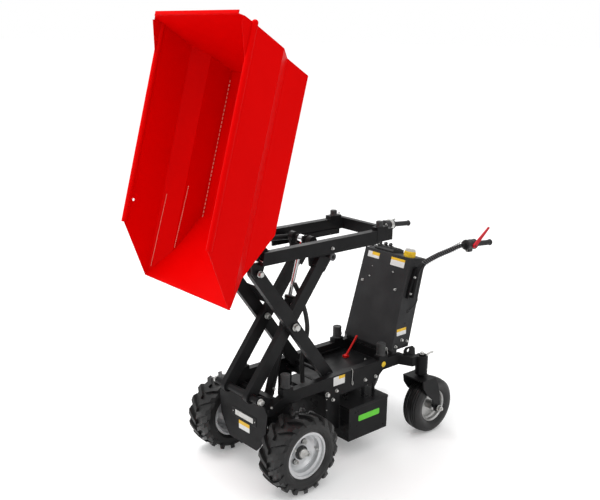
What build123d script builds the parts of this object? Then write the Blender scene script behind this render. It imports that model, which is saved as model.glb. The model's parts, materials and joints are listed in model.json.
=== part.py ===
from build123d import *
import math
import os

os.makedirs("parts", exist_ok=True)

# Walk-behind electric dumper with a scissor lift and a forward-tipping skip.
# Millimetres.  +Z up, the front is -Y, the operator stands at +Y.
# Stations called "y" below are measured rearward from the front axle;
# at() shifts them so that the frame's origin is under the middle of the machine.

# ---- driving dimensions -------------------------------------------------
FRONT_AXLE_Y = -434.0        # front axle in the shared frame

# front wheels
WHEEL_R = 203.0              # out to the lug tips
WHEEL_W = 165.0
WHEEL_X = 301.0              # middle plane of each front wheel
CROWN_R = 189.0              # tread ground between the lugs
SHOULDER_DROP = 10.0         # fall of the tread from crown to shoulder
RIM_R = 114.0                # tyre bead radius
RIM_WALL = 5.0
FLANGE_UP = 6.0              # rim flange above the bead
FLANGE_T = 3.0
SEAT_GAP = 0.3               # bead to rim seat
LUGS = 17                    # on each side of the tread
LUG_W = 21.0
LUG_SWEEP = 52.0             # how far a lug runs back round the tyre
HUB_R = 42.0

# swivel casters
CASTER_R = 160.0
CASTER_W = 116.0
CASTER_X = 280.0
CASTER_Y = 928.0             # swivel axis
CASTER_TRAIL = 69.0
CASTER_RIM_R = 88.0
FORK_PLATE = 8.0
AXLE_PIN_R = 10.0
FORK_GAP = 9.0               # between the tyre and a fork leg
FORK_FRONT = 66.0            # crown plate ahead of the swivel axis
FORK_REAR = 42.0             # and behind it
FORK_END_R = 25.0            # round end of a leg at the axle
FORK_TOP_CLEAR = 22.0        # tyre crown to fork crown plate
SWIVEL_R = 35.0
SWIVEL_H = 108.0
STEM_R = 18.0
SWIVEL_GAP = 12.0            # fork crown to swivel tube

# base frame
BASE_HALF = 198.0            # outside of the side rails
RAIL_W = 40.0
RAIL_Z = 415.0
RAIL_H = 61.0
RAIL_FRONT = 27.0            # where the rail top turns down to the front plate
RAIL_REAR = 824.0
CROSS_W = 45.0               # rear cross beam
POST_Y = (14.0, 703.0)
POST_X = 175.0
POST_R = 25.0
POST_TOP = 565.0
PAD_H = 22.0                 # block under each rubber post
PLATE_Y = -118.0             # face of the front plate
PLATE_T = 8.0
PLATE_TOP = 424.0
PLATE_LOW = 165.0
PLATE_FOOT = 112.0           # half width of its bottom edge
TRAY_T = 4.0
TRAY_FRONT = 300.0
PROP_X = -60.0               # stowed safety prop
PROP_Y = (666.0, 752.0)
PROP_TOP = 528.0
LASH_X = 206.0               # tie-down plate on the rear cross beam
LASH_Y = 888.0
LASH_Z = 488.0
LASH_T = 8.0
LASH_R = 12.0

# scissor
PIVOT_Y = -146.0             # both front pivots stand above each other
PIVOT_LOW = 462.0
PIVOT_HIGH = 1108.0
ARM_SPAN = 808.0             # between the end pivots of each arm
ARM_H = 65.0
ARM_W = 32.0
INNER_X = 92.0
OUTER_X = 128.0
PIVOT_R = 12.5
BOSS_R = 19.0
ROLLER_R = 20.0
ROLLER_W = 8.0
TRACK_T = 8.0
TRACK_SEAT = 5.0             # upper track against the side of its rail
SHAFT_R = 10.0
LEVER_UP = 78.0              # lever boss above the upper roller
LEVER_FWD = 76.0             # and ahead of it
LEVER_T = 12.0
LEVER_R = 26.0
LEVER_REAR = 54.0            # how far the lever plate runs on behind its boss
SLEEVE_RUN = (-78.0, 34.0)   # sleeve round the top end of an inner arm, from the roller
SLEEVE_T = 6.0
BRACE_RUN = (205.0, 330.0)   # plate across the outer arms, from the upper front pivot
BRACE_T = 6.0

# top frame
TOP_HALF = 197.0
TOP_W = 40.0
TOP_Z = 1151.0
TOP_H = 62.0
TOP_FRONT = -140.0
TOP_REAR = 729.0
TOP_CROSS_W = 30.0
TOP_PAD_LEN = 118.0          # raised block from its front to the rail's end
TOP_PAD_END = 38.0           # and from its rear
UPPER_TRACK = (150.0, 60.0)  # track ahead of the roller, and short of the rail's end
TOP_PAD_H = 16.0
TOP_POST_Y = 648.0
TOP_POST_R = 18.5
EAR_T = 11.0

# skip, in its own profile: u runs rearward along the floor, h up from it
TIP_ANGLE = 75.4             # how far it stands tipped
HINGE_Y = -145.0
HINGE_Z = 1234.0
HINGE_FRONT = 78.0           # hinge ahead of the floor's front edge
HINGE_DROP = 28.0            # hinge below the floor
HINGE_PIN_R = 8.0
SKIP_WALL = 4.0
FLOOR_LEN = 725.0
FLOOR_HALF = 284.0
RIM_HALF = 345.0
WALL_H = 398.0               # floor to side rim
STEP_LOW = 138.0             # upright part beside the floor
STEP_HIGH = 216.0            # where the slope meets the upper wall
REAR_LEAN = 0.311            # rear wall: rearward per unit up
CHUTE_LEN = 342.0            # floor front to lip
CHUTE_RISE = 224.0
LIP_FLANGE = 12.0            # strip bent down along the lip
RIM_SET = 96.0               # front end of the side rim ahead of the floor
TAIL_H = 462.0               # top of the rear wall
TAIL_HALF = 337.0            # half width up there
TAIL_HEM = 14.0              # flange bent back along its top
TAIL_CORNER = 22.0           # its cut corners
EAR_LEN = 172.0              # side gusset that rises to the rear wall
RIM_R_TUBE = 14.0
RIM_HOLE_R = 7.0             # hole near the front of the side rim

# lift cylinder
LIFT_BASE = (45.0, 355.0)
LIFT_TUBE_R = 25.0
LIFT_ROD_R = 11.0
LIFT_TUBE_LEN = 560.0
LIFT_ROD_IN = 240.0          # where the rod's inner end stands, from the base pin
EYE_R = 20.0
EYE_W = 30.0
CYL_PIN_R = 10.0
CHEEK_T = 8.0
CHEEK_GAP = 4.0              # between an eye and each cheek
BARREL_END = 16.0            # closed end of a barrel, past its eye

# tip cylinders
TIP_BASE = (292.0, 1170.0)
TIP_X = 124.0
TIP_TUBE_R = 15.0
TIP_ROD_R = 7.0
TIP_TUBE_LEN = 245.0
TIP_ROD_IN = 74.0
TIP_EYE_R = 14.0
TIP_EYE_W = 16.0
TIP_PIN_R = 6.0
TIP_ARM = (-20.0, -70.0)     # rod pin from the hinge with the skip level
TIP_CHEEK_T = 6.0

# console and handlebar
CONSOLE_HALF_LOW = 186.0
CONSOLE_HALF_HIGH = 171.0
CONSOLE_Y = (776.0, 912.0)   # front face at the bottom and at the top
CONSOLE_Z = (500.0, 1010.0)
CONSOLE_DEPTH = 137.0
DECK_FALL = 23.0             # slope of its top, front to rear
FOOT_Y = (790.0, 822.0)
FOOT_SET = 14.0              # foot inside the frame's width
PANEL_X = (-120.0, 20.0)
PANEL_H = 18.0
PANEL_SET = (22.0, 22.0)     # panel behind the front edge and ahead of the rear one
CAP_X = 128.0
CAP_SET = 26.0
CAP_R = 31.0
CAP_H = 32.0
BAR_R = 14.0
GRIP_X = 313.0
GRIP_R = 15.0
GRIP_LEN = 150.0
GRIP_END_Y = 1440.0
GRIP_END_Z = 1052.0
GRIP_DROP = 12.0             # its front end above its rear end
BAR_STANDOFF = 12.0          # bar to the console's side
BAR_STRAIGHT = 262.0         # straight end that the clamp and grip sit on
BAR_BEND = 60.0
CLAMP_LEN = 78.0
CLAMP_R = 28.0
CLAMP_GAP = 4.0
BLADE_T = 8.0
LEVER_PIN_R = 5.0

# battery box
BOX_HALF = 265.0
BOX_Y = (382.0, 675.0)
BOX_Z = (110.0, 300.0)
BOX_WALL = 3.0
LID_H = 14.0
LID_LIP = 3.0
HANGER_T = 8.0               # plate under each rail that carries the box
HANGER_H = 56.0
STRAP_Y = (560.0, 640.0)
STRAP_W = 18.0
STRAP_T = 6.0
PACK_GAP = 20.0              # cells to the tub's walls
PACK_TOP = 40.0              # and below the lid

# front axle and drive
AXLE_R = 22.0
MOTOR_R = 62.0
MOTOR_IN = 142.0             # inner end of each drive motor
WHEEL_GAP = 4.0              # motor to the wheel's inner side


# ---- helpers ------------------------------------------------------------
def at(y):
    return y + FRONT_AXLE_Y


def block(x, y, z):
    """Box from (low, high) pairs; y is measured from the front axle."""
    size = (x[1] - x[0], y[1] - y[0], z[1] - z[0])
    middle = (sum(x) / 2, at(sum(y) / 2), sum(z) / 2)
    return Pos(*middle) * Box(*size)


def side_plate(points, x0, x1):
    """A plate cut to (y, z) points, from x0 to x1."""
    outline = [(at(y), z) for y, z in points]
    face = Plane.YZ.offset(x0) * Polygon(*outline, align=None)
    return extrude(face, x1 - x0, dir=(1, 0, 0))


def front_plate_of(points, y0, y1):
    """A plate cut to (x, z) points, from y0 back to y1."""
    face = Plane.XZ.offset(-at(y0)) * Polygon(*points, align=None)
    return extrude(face, y1 - y0, dir=(0, 1, 0))


def disc_x(y, z, r, x0, x1):
    """A round bar along X."""
    return extrude(Plane.YZ.offset(x0) * (Pos(at(y), z) * Circle(r)), x1 - x0)


def rod(p, q, r):
    """A round bar between two (x, y, z) points."""
    a = Vector(p[0], at(p[1]), p[2])
    b = Vector(q[0], at(q[1]), q[2])
    return Plane(origin=a, z_dir=b - a) * Cylinder(
        r, (b - a).length, align=(Align.CENTER, Align.CENTER, Align.MIN))


def link(p, q, height, x0, x1):
    """An arm with round ends between two (y, z) pins."""
    dy, dz = q[0] - p[0], q[1] - p[1]
    length = math.hypot(dy, dz)
    middle = Pos(at((p[0] + q[0]) / 2), (p[1] + q[1]) / 2)
    turn = Rot(0, 0, math.degrees(math.atan2(dz, dy)))
    face = Plane.YZ.offset(x0) * (middle * turn * SlotCenterToCenter(length, height))
    return extrude(face, x1 - x0)


def on_arm(p, q, distance, offset):
    """A (y, z) point at a distance along p to q and an offset above the line."""
    dy, dz = q[0] - p[0], q[1] - p[1]
    length = math.hypot(dy, dz)
    up = 1 if dy > 0 else -1
    return (p[0] + (dy * distance - up * dz * offset) / length,
            p[1] + (dz * distance + up * dy * offset) / length)


def arm_block(p, q, run, rise, x0, x1):
    """A rectangular piece laid along an arm: run along it, rise across it."""
    corners = [(run[0], rise[0]), (run[1], rise[0]), (run[1], rise[1]), (run[0], rise[1])]
    return side_plate([on_arm(p, q, s, h) for s, h in corners], x0, x1)


def both(shape):
    """A shape and its mirror image on the other side."""
    return shape + mirror(shape, Plane.YZ)


def save(name, shape):
    solids = shape.solids()
    out = solids[0] if len(solids) == 1 else Compound(children=list(solids))
    out.label = name
    export_step(out, f"parts/{name}.step")


def turned(profile, x_mid, y, z):
    """Revolve (x, r) points about a wheel's axle."""
    face = make_face(Polyline(*profile, close=True))
    wheel = revolve(face, Axis.X, 360)
    return Pos(x_mid, at(y), z) * wheel


# ---- front wheels -------------------------------------------------------
def tyre_section(half, crown, shoulder, bead, bead_half):
    """Right half of a tyre's section from the bead to the crown."""
    bulge = bead + 0.52 * (shoulder - bead)
    return [
        (bead_half - 1, bead), (bead_half - 1, bead + FLANGE_UP + 1),
        (bead_half + 6, bead + FLANGE_UP + 2), (half * 0.97, bead + 0.3 * (shoulder - bead)),
        (half, bulge),
        (half * 0.97, bead + 0.8 * (shoulder - bead)),
        (half * 0.86, shoulder), (half * 0.45, crown - 2), (0, crown),
    ]


def front_tyre(side):
    half = WHEEL_W / 2
    shoulder = CROWN_R - SHOULDER_DROP
    right = tyre_section(half, CROWN_R, shoulder, RIM_R, 62)
    left = [(-x, r) for x, r in reversed(right[:-1])]
    body = revolve(make_face(Polyline(*right, *left, close=True)), Axis.X, 360)
    keep = revolve(make_face(Polyline(
        (-half, shoulder - 22), (-half, shoulder - 4), (-half * 0.86, WHEEL_R - 4),
        (-half * 0.5, WHEEL_R), (half * 0.5, WHEEL_R), (half * 0.86, WHEEL_R - 4),
        (half, shoulder - 4), (half, shoulder - 22), close=True)), Axis.X, 360)
    lugs = []
    for k in range(LUGS):
        for hand in (1, -1):
            turn = 360 / LUGS * (k + (0 if hand > 0 else 0.5))
            lug = extrude(Pos(0, 0, shoulder - 22) * Polygon(
                (hand * 3, -LUG_W / 2), (hand * 3, LUG_W / 2),
                (hand * half, LUG_SWEEP + LUG_W * 0.62),
                (hand * half, LUG_SWEEP - LUG_W * 0.62), align=None), 60, dir=(0, 0, 1))
            lugs.append(Rot(turn, 0, 0) * (lug & keep))
    tyre = body + lugs
    return Pos(side * WHEEL_X, at(0), WHEEL_R) * tyre


def rim_barrel(r, half, drop, well):
    """A drop-centre barrel with a flange at each edge."""
    seat = r - SEAT_GAP
    outer = [
        (half + FLANGE_T, seat - RIM_WALL), (half + FLANGE_T, r + FLANGE_UP),
        (half, r + FLANGE_UP), (half, seat), (half - 12, seat), (well, seat - drop)]
    inner = [(half - 12, seat - RIM_WALL), (well, seat - drop - RIM_WALL)]
    left = [(-x, rr) for x, rr in reversed(outer)]
    under = [(-x, rr) for x, rr in inner] + list(reversed(inner))
    return revolve(make_face(Polyline(*outer, *left, *under, close=True)), Axis.X, 360)


def front_rim(side):
    """A dished disc wheel: the disc sits deep behind the outer flange."""
    seat = RIM_R - 13 - RIM_WALL / 2
    dish = [(20, seat), (20, RIM_R - 26), (8, RIM_R - 40), (2, RIM_R - 56), (2, 0)]
    back = [(x - RIM_WALL, r - (1 if r else 0)) for x, r in reversed(dish[1:])]
    back.append((dish[0][0] - RIM_WALL, seat))
    wheel = rim_barrel(RIM_R, 62, 13, 44)
    wheel += revolve(make_face(Polyline(*dish, *back, close=True)), Axis.X, 360)
    wheel += Pos(0, 0, 0) * Rot(0, 90, 0) * Cylinder(
        HUB_R, 16, align=(Align.CENTER, Align.CENTER, Align.MIN))
    wheel += Rot(0, 90, 0) * Cylinder(
        HUB_R * 0.55, 34, align=(Align.CENTER, Align.CENTER, Align.MIN))
    if side < 0:
        wheel = mirror(wheel, Plane.YZ)
    return Pos(side * WHEEL_X, at(0), WHEEL_R) * wheel


for label, side in (("left", 1), ("right", -1)):
    save(f"front_tyre_{label}", front_tyre(side))
    save(f"front_rim_{label}", front_rim(side))


# ---- casters ------------------------------------------------------------
CASTER_AXLE_Y = CASTER_Y + CASTER_TRAIL
CROWN_Z = 2 * CASTER_R + FORK_TOP_CLEAR
SWIVEL_Z = CROWN_Z + FORK_PLATE + SWIVEL_GAP


def caster_tyre(side):
    half = CASTER_W / 2
    right = tyre_section(half, CASTER_R, CASTER_R - 9, CASTER_RIM_R, 32)
    left = [(-x, r) for x, r in reversed(right[:-1])]
    return turned(right + left, side * CASTER_X, CASTER_AXLE_Y, CASTER_R)


def caster_rim(side):
    wheel = rim_barrel(CASTER_RIM_R, 32, 8, 14)
    disc = [(3, CASTER_RIM_R - 10), (3, 20), (-3, 20), (-3, CASTER_RIM_R - 10)]
    wheel += revolve(make_face(Polyline(*disc, close=True)), Axis.X, 360)
    wheel += Rot(0, 90, 0) * Cylinder(24, 96)
    wheel -= Rot(0, 90, 0) * Cylinder(AXLE_PIN_R + 0.05, 100)
    return Pos(side * CASTER_X, at(CASTER_AXLE_Y), CASTER_R) * wheel


def caster_fork(side):
    """A bent plate: a flat crown and two legs that sweep back to the axle."""
    x = side * CASTER_X
    leg_in = CASTER_W / 2 + FORK_GAP
    leg_out = leg_in + FORK_PLATE
    front, rear = CASTER_Y - FORK_FRONT, CASTER_Y + FORK_REAR
    top = CROWN_Z + FORK_PLATE
    fork = block((x - leg_out, x + leg_out), (front, rear), (CROWN_Z, top))
    for hand in (1, -1):
        inner, outer = sorted((x + hand * leg_in, x + hand * leg_out))
        leg = side_plate([
            (front, top), (rear, top), (rear + 20, top - 36),
            (CASTER_AXLE_Y + FORK_END_R * 0.8, CASTER_R + 74),
            (CASTER_AXLE_Y + FORK_END_R, CASTER_R), (CASTER_AXLE_Y - FORK_END_R, CASTER_R),
            (CASTER_AXLE_Y - FORK_END_R - 16, CASTER_R + 54), (front + 44, CASTER_R + 98),
            (front + 8, CASTER_R + 144)], inner, outer)
        fork += leg + disc_x(CASTER_AXLE_Y, CASTER_R, FORK_END_R, inner, outer)
    fork += disc_x(CASTER_AXLE_Y, CASTER_R, AXLE_PIN_R, x - leg_out - 12, x + leg_out + 12)
    stem = Pos(x, at(CASTER_Y), CROWN_Z) * Cylinder(
        STEM_R, FORK_PLATE + SWIVEL_GAP + SWIVEL_H + 8,
        align=(Align.CENTER, Align.CENTER, Align.MIN))
    return fork + stem


for label, side in (("left", 1), ("right", -1)):
    save(f"caster_tyre_{label}", caster_tyre(side))
    save(f"caster_rim_{label}", caster_rim(side))
    save(f"caster_fork_{label}", caster_fork(side))


# ---- base frame ---------------------------------------------------------
RAIL_TOP = RAIL_Z + RAIL_H
RAIL_IN = BASE_HALF - RAIL_W
PLATE_BACK = PLATE_Y + PLATE_T
TRACK_X = (OUTER_X + ARM_W / 2 + 2, RAIL_IN)
ROLLER_Y = PIVOT_Y + math.sqrt(ARM_SPAN ** 2 - (PIVOT_HIGH - PIVOT_LOW) ** 2)
TRACK_AHEAD = 40.0                       # lower track ahead of its roller
TRACK_REAR = 706.0

rail = side_plate([
    (PLATE_BACK, RAIL_Z - 36), (PLATE_BACK, RAIL_Z), (RAIL_FRONT, RAIL_TOP),
    (RAIL_REAR, RAIL_TOP), (RAIL_REAR, RAIL_Z), (RAIL_FRONT, RAIL_Z),
    (PLATE_BACK + 34, RAIL_Z - 36)], RAIL_IN, BASE_HALF)
track_top = PIVOT_LOW - ROLLER_R
track = block(TRACK_X, (ROLLER_Y - TRACK_AHEAD, TRACK_REAR), (track_top - TRACK_T, track_top))
save("lower_tracks", both(track))
pads = Part()
for y in POST_Y:
    pads += block((RAIL_IN, BASE_HALF), (y - 34, y + 34), (RAIL_TOP - 14, RAIL_TOP + PAD_H))
arm_plan = Polygon(
    (RAIL_IN, at(RAIL_REAR)), (BASE_HALF - 4, at(RAIL_REAR)),
    (CASTER_X - 8, at(CASTER_Y - SWIVEL_R - 32)), (CASTER_X - 2, at(CASTER_Y - 12)),
    (CASTER_X - 20, at(CASTER_Y + 6)), (BASE_HALF + 16, at(RAIL_REAR + CROSS_W)),
    (RAIL_IN, at(RAIL_REAR + CROSS_W - 6)), align=None)
outrigger = extrude(Pos(0, 0, RAIL_Z + 1) * arm_plan, RAIL_H - 8)
swivel = Pos(CASTER_X, at(CASTER_Y), SWIVEL_Z) * (
    Cylinder(SWIVEL_R, SWIVEL_H, align=(Align.CENTER, Align.CENTER, Align.MIN)))
bore = Pos(CASTER_X, at(CASTER_Y), SWIVEL_Z - 1) * Cylinder(
    STEM_R + 0.05, SWIVEL_H + 2, align=(Align.CENTER, Align.CENTER, Align.MIN))
hanger_low = RAIL_Z - HANGER_H
hanger = side_plate([
    (BOX_Y[0] - 116, RAIL_Z), (BOX_Y[1] + 27, RAIL_Z), (BOX_Y[1] - 38, hanger_low),
    (BOX_Y[0] - 10, hanger_low), (BOX_Y[0] - 10, BOX_Z[0] + 60), (BOX_Y[0] - 100, BOX_Z[0] + 60),
    (BOX_Y[0] - 104, hanger_low)], BASE_HALF - HANGER_T, BASE_HALF)
pivot_ear = side_plate([
    (PLATE_BACK + 1, PLATE_TOP - 30), (PLATE_BACK + 80, RAIL_Z + 4),
    (PLATE_BACK + 60, RAIL_Z + 30), (PIVOT_Y + 8, PIVOT_LOW + BOSS_R),
    (PIVOT_Y, PIVOT_LOW + BOSS_R), (PIVOT_Y - BOSS_R, PIVOT_LOW),
    (PIVOT_Y - 6, PIVOT_LOW - BOSS_R + 1), (PLATE_Y - 2, PLATE_TOP + 1),
    (PLATE_BACK + 1, PLATE_TOP + 1)], RAIL_IN - 10, RAIL_IN)
pivot_ear += disc_x(PIVOT_Y, PIVOT_LOW, BOSS_R, INNER_X + ARM_W / 2 + 2, RAIL_IN + 12)
pivot_ear += disc_x(PIVOT_Y, PIVOT_LOW, PIVOT_R, INNER_X - ARM_W / 2, RAIL_IN + 20)
half = rail + pads + (outrigger + swivel - bore) + hanger + pivot_ear
base = both(half)
base += block((-RAIL_IN, RAIL_IN), (RAIL_REAR - CROSS_W, RAIL_REAR), (RAIL_Z + 4, RAIL_TOP - 4))
base += block((-RAIL_IN, RAIL_IN), (TRAY_FRONT, RAIL_REAR - 5), (RAIL_Z, RAIL_Z + TRAY_T))
base += block((-RAIL_IN - 10, RAIL_IN + 10), (-20, 14), (RAIL_Z - 37, RAIL_Z - 3))
base += both(block((RAIL_IN, RAIL_IN + 10), (-20, 14), (RAIL_Z - 37, RAIL_Z + 6)))
cheek_in = EYE_W / 2 + CHEEK_GAP
by, bz = LIFT_BASE
base += both(side_plate([
    (-18, RAIL_Z - 3), (12, RAIL_Z - 3), (16, bz + 30), (by - 8, bz + 19), (by + 10, bz + 18),
    (by + 20, bz), (by + 10, bz - 18), (by - 10, bz - 18), (-18, RAIL_Z - 40)],
    cheek_in, cheek_in + CHEEK_T))
base += side_plate([
    (LASH_Y - 34, RAIL_Z + 8), (LASH_Y - 34, LASH_Z + 6), (LASH_Y - 18, LASH_Z + 20),
    (LASH_Y + 36, LASH_Z + 18), (LASH_Y + 54, LASH_Z + 2), (LASH_Y + 64, RAIL_Z + 4),
    (LASH_Y + 44, RAIL_Z - 2)], LASH_X, LASH_X + LASH_T)
base -= disc_x(LASH_Y, LASH_Z, LASH_R, LASH_X - 2, LASH_X + LASH_T + 2)
base += disc_x(by, bz, CYL_PIN_R, -cheek_in - CHEEK_T - 4, cheek_in + CHEEK_T + 4)
save("base_frame", base)

save("front_plate", front_plate_of([
    (-BASE_HALF, RAIL_Z - 26), (-RAIL_IN - 10, PLATE_TOP), (RAIL_IN + 10, PLATE_TOP),
    (BASE_HALF, RAIL_Z - 26), (BASE_HALF - 14, PLATE_LOW + 104),
    (BASE_HALF - 60, PLATE_LOW + 28), (PLATE_FOOT, PLATE_LOW), (-PLATE_FOOT, PLATE_LOW),
    (-BASE_HALF + 60, PLATE_LOW + 28), (-BASE_HALF + 14, PLATE_LOW + 104)],
    PLATE_Y, PLATE_BACK))

posts = Part()
for y in POST_Y:
    post = Pos(POST_X, at(y), RAIL_TOP + PAD_H) * Cylinder(
        POST_R, POST_TOP - RAIL_TOP - PAD_H, align=(Align.CENTER, Align.CENTER, Align.MIN))
    posts += both(post)
save("base_bumpers", posts)

# ---- axle and drive -----------------------------------------------------
motor_face = WHEEL_X - WHEEL_W / 2 - WHEEL_GAP
axle = disc_x(0, WHEEL_R, AXLE_R, -MOTOR_IN, MOTOR_IN)
axle += both(side_plate([
    (30, RAIL_Z - 8), (100, RAIL_Z - 8), (44, WHEEL_R - 24), (-44, WHEEL_R - 24),
    (-60, WHEEL_R + 60), (-60, RAIL_Z - 46), (30, RAIL_Z - 46)],
    MOTOR_IN - 12, MOTOR_IN))
axle += both(block((MOTOR_IN - 12, BASE_HALF), (30, 100), (RAIL_Z - 8, RAIL_Z)))
save("front_axle", axle)
motors = both(disc_x(0, WHEEL_R, MOTOR_R, MOTOR_IN, motor_face)
              + disc_x(0, WHEEL_R, 30, motor_face, WHEEL_X - 3.5))
save("drive_motors", motors)

# ---- battery box --------------------------------------------------------
tub = block((-BOX_HALF, BOX_HALF), BOX_Y, (BOX_Z[0], BOX_Z[1] - LID_H))
tub -= block((-BOX_HALF + BOX_WALL, BOX_HALF - BOX_WALL), (BOX_Y[0] + BOX_WALL, BOX_Y[1] - BOX_WALL),
             (BOX_Z[0] + BOX_WALL, BOX_Z[1]))
save("battery_box", tub)
lid = block((-BOX_HALF - LID_LIP, BOX_HALF + LID_LIP), (BOX_Y[0] - LID_LIP, BOX_Y[1]),
            (BOX_Z[1] - LID_H, BOX_Z[1]))
strap_out = BASE_HALF - HANGER_T
for y in STRAP_Y:
    lid += both(block((strap_out - STRAP_T, strap_out), (y - STRAP_W / 2, y + STRAP_W / 2),
                      (BOX_Z[1], RAIL_Z - 12)))
save("battery_lid", lid)
save("battery_pack", block(
    (-BOX_HALF + PACK_GAP, BOX_HALF - PACK_GAP), (BOX_Y[0] + PACK_GAP, BOX_Y[1] - PACK_GAP),
    (BOX_Z[0] + BOX_WALL, BOX_Z[1] - PACK_TOP)))

# ---- scissor ------------------------------------------------------------
LOW = (PIVOT_Y, PIVOT_LOW)
HIGH = (PIVOT_Y, PIVOT_HIGH)
LOW_REAR = (ROLLER_Y, PIVOT_LOW)
HIGH_REAR = (ROLLER_Y, PIVOT_HIGH)
CENTRE = ((LOW[0] + HIGH_REAR[0]) / 2, (LOW[1] + HIGH_REAR[1]) / 2)
LEVER = (HIGH_REAR[0] - LEVER_FWD, HIGH_REAR[1] + LEVER_UP)
in0, in1 = INNER_X - ARM_W / 2, INNER_X + ARM_W / 2
out0, out1 = OUTER_X - ARM_W / 2, OUTER_X + ARM_W / 2

inner = link(LOW, HIGH_REAR, ARM_H, in0, in1)
inner += arm_block(LOW, HIGH_REAR, (ARM_SPAN + SLEEVE_RUN[0], ARM_SPAN + SLEEVE_RUN[1]),
                   (-ARM_H / 2 - SLEEVE_T, ARM_H / 2 + SLEEVE_T), in0 - LEVER_T, in1)
inner += side_plate([
    (HIGH_REAR[0] + 18, HIGH_REAR[1] + 20), (HIGH_REAR[0] - 40, HIGH_REAR[1] - 80),
    (HIGH_REAR[0] - 86, HIGH_REAR[1] - 50), (LEVER[0] - LEVER_R, LEVER[1]),
    (LEVER[0] - LEVER_R * 0.6, LEVER[1] + LEVER_R * 0.8), (LEVER[0], LEVER[1] + LEVER_R),
    (LEVER[0] + LEVER_REAR, LEVER[1] - LEVER_R * 0.7)], in0 - LEVER_T, in0)
inner += disc_x(LEVER[0], LEVER[1], LEVER_R, in0 - LEVER_T - 10, in0 + 8)
inner -= disc_x(LOW[0], LOW[1], PIVOT_R + 0.05, in0 - 1, in1 + 1)
inner -= disc_x(CENTRE[0], CENTRE[1], PIVOT_R + 0.05, in0 - 1, in1 + 1)
inner = both(inner)
inner += disc_x(LOW[0], LOW[1], BOSS_R, -in0 + 1, in0 - 1)
inner += both(disc_x(LOW[0], LOW[1], BOSS_R, in0 - 14, in0))
inner += both(disc_x(LEVER[0], LEVER[1], CYL_PIN_R, cheek_in, in0))
shaft_end = TRACK_X[0] + ROLLER_W + 1
inner += disc_x(HIGH_REAR[0], HIGH_REAR[1], SHAFT_R, -shaft_end, shaft_end)
eye_plate = both(side_plate([
    (LEVER[0] - 20, LEVER[1] - 24), (LEVER[0] + 20, LEVER[1] - 24),
    (LEVER[0] + 20, LEVER[1] + 8), (LEVER[0] + 10, LEVER[1] + 20), (LEVER[0] - 20, LEVER[1] + 20)],
    cheek_in, cheek_in + CHEEK_T))
inner += eye_plate
save("inner_arms", inner)

outer = link(LOW_REAR, HIGH, ARM_H, out0, out1)
outer -= disc_x(CENTRE[0], CENTRE[1], PIVOT_R + 0.05, out0 - 1, out1 + 1)
outer -= disc_x(HIGH[0], HIGH[1], PIVOT_R + 0.05, out0 - 1, out1 + 1)
outer = both(outer)
outer += arm_block(HIGH, LOW_REAR, BRACE_RUN, (ARM_H / 2, ARM_H / 2 + BRACE_T), -out1, out1)
outer += disc_x(LOW_REAR[0], LOW_REAR[1], SHAFT_R, -shaft_end, shaft_end)
save("outer_arms", outer)

for name, (y, z) in (("upper_rollers", HIGH_REAR), ("lower_rollers", LOW_REAR)):
    roller = disc_x(y, z, ROLLER_R, TRACK_X[0], TRACK_X[0] + ROLLER_W)
    roller -= disc_x(y, z, SHAFT_R + 0.05, TRACK_X[0] - 1, TRACK_X[1])
    save(name, both(roller))
pin = disc_x(CENTRE[0], CENTRE[1], PIVOT_R, in0, out1 + 1)
pin += disc_x(CENTRE[0], CENTRE[1], PIVOT_R + 4, out1 + 1, out1 + 8)
pin += disc_x(CENTRE[0], CENTRE[1], PIVOT_R + 4, in0 - 5, in0)
pins = both(pin)
save("centre_pins", pins)

# ---- top frame ----------------------------------------------------------
TOP_TOP = TOP_Z + TOP_H
TOP_IN = TOP_HALF - TOP_W
rail = side_plate([
    (TOP_FRONT - 12, TOP_Z), (TOP_FRONT, TOP_TOP), (TOP_REAR, TOP_TOP), (TOP_REAR, TOP_Z)],
    TOP_IN, TOP_HALF)
track = block((TRACK_X[0], TOP_IN), (ROLLER_Y - UPPER_TRACK[0], TOP_REAR - UPPER_TRACK[1]),
              (PIVOT_HIGH + ROLLER_R, TOP_Z + TRACK_SEAT))
save("upper_tracks", both(track))
rail += block((TOP_IN, TOP_HALF + 2), (TOP_REAR - TOP_PAD_LEN, TOP_REAR - TOP_PAD_END),
              (TOP_Z + 4, TOP_TOP + TOP_PAD_H))
rail += side_plate([
    (PIVOT_Y - 40, TOP_Z + 10), (PIVOT_Y + 46, TOP_Z + 10), (PIVOT_Y + 20, PIVOT_HIGH - 22),
    (PIVOT_Y - 20, PIVOT_HIGH - 22), (PIVOT_Y - 34, PIVOT_HIGH)], TOP_IN - EAR_T, TOP_IN)
rail += disc_x(PIVOT_Y, PIVOT_HIGH, PIVOT_R, out0, TOP_IN + 14)
rail += side_plate([
    (HINGE_Y - 16, TOP_Z + 20), (HINGE_Y + 60, TOP_TOP - 4), (HINGE_Y + 16, HINGE_Z + 4),
    (HINGE_Y, HINGE_Z + 16), (HINGE_Y - 16, HINGE_Z + 4)], TOP_IN + 2, TOP_IN + 14)
rail -= disc_x(HINGE_Y, HINGE_Z, HINGE_PIN_R + 0.05, TOP_IN, TOP_IN + 16)
top = both(rail)
top += block((-TOP_IN, TOP_IN), (TOP_REAR - TOP_CROSS_W, TOP_REAR), (TOP_Z, TOP_TOP))
tip_cheek = both(side_plate([
    (TIP_BASE[0] - 14, TIP_BASE[1] + 14), (TIP_BASE[0] - 14, TIP_BASE[1] - 14),
    (TIP_BASE[0] + 16, TIP_BASE[1] - 14), (TIP_BASE[0] + 16, TIP_BASE[1] + 14)],
    TOP_IN - TIP_CHEEK_T - 2, TOP_IN))
tip_cheek += both(disc_x(TIP_BASE[0], TIP_BASE[1], TIP_PIN_R, TIP_X - 14, TOP_IN - 2))
top += tip_cheek
save("top_frame", top)
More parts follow.
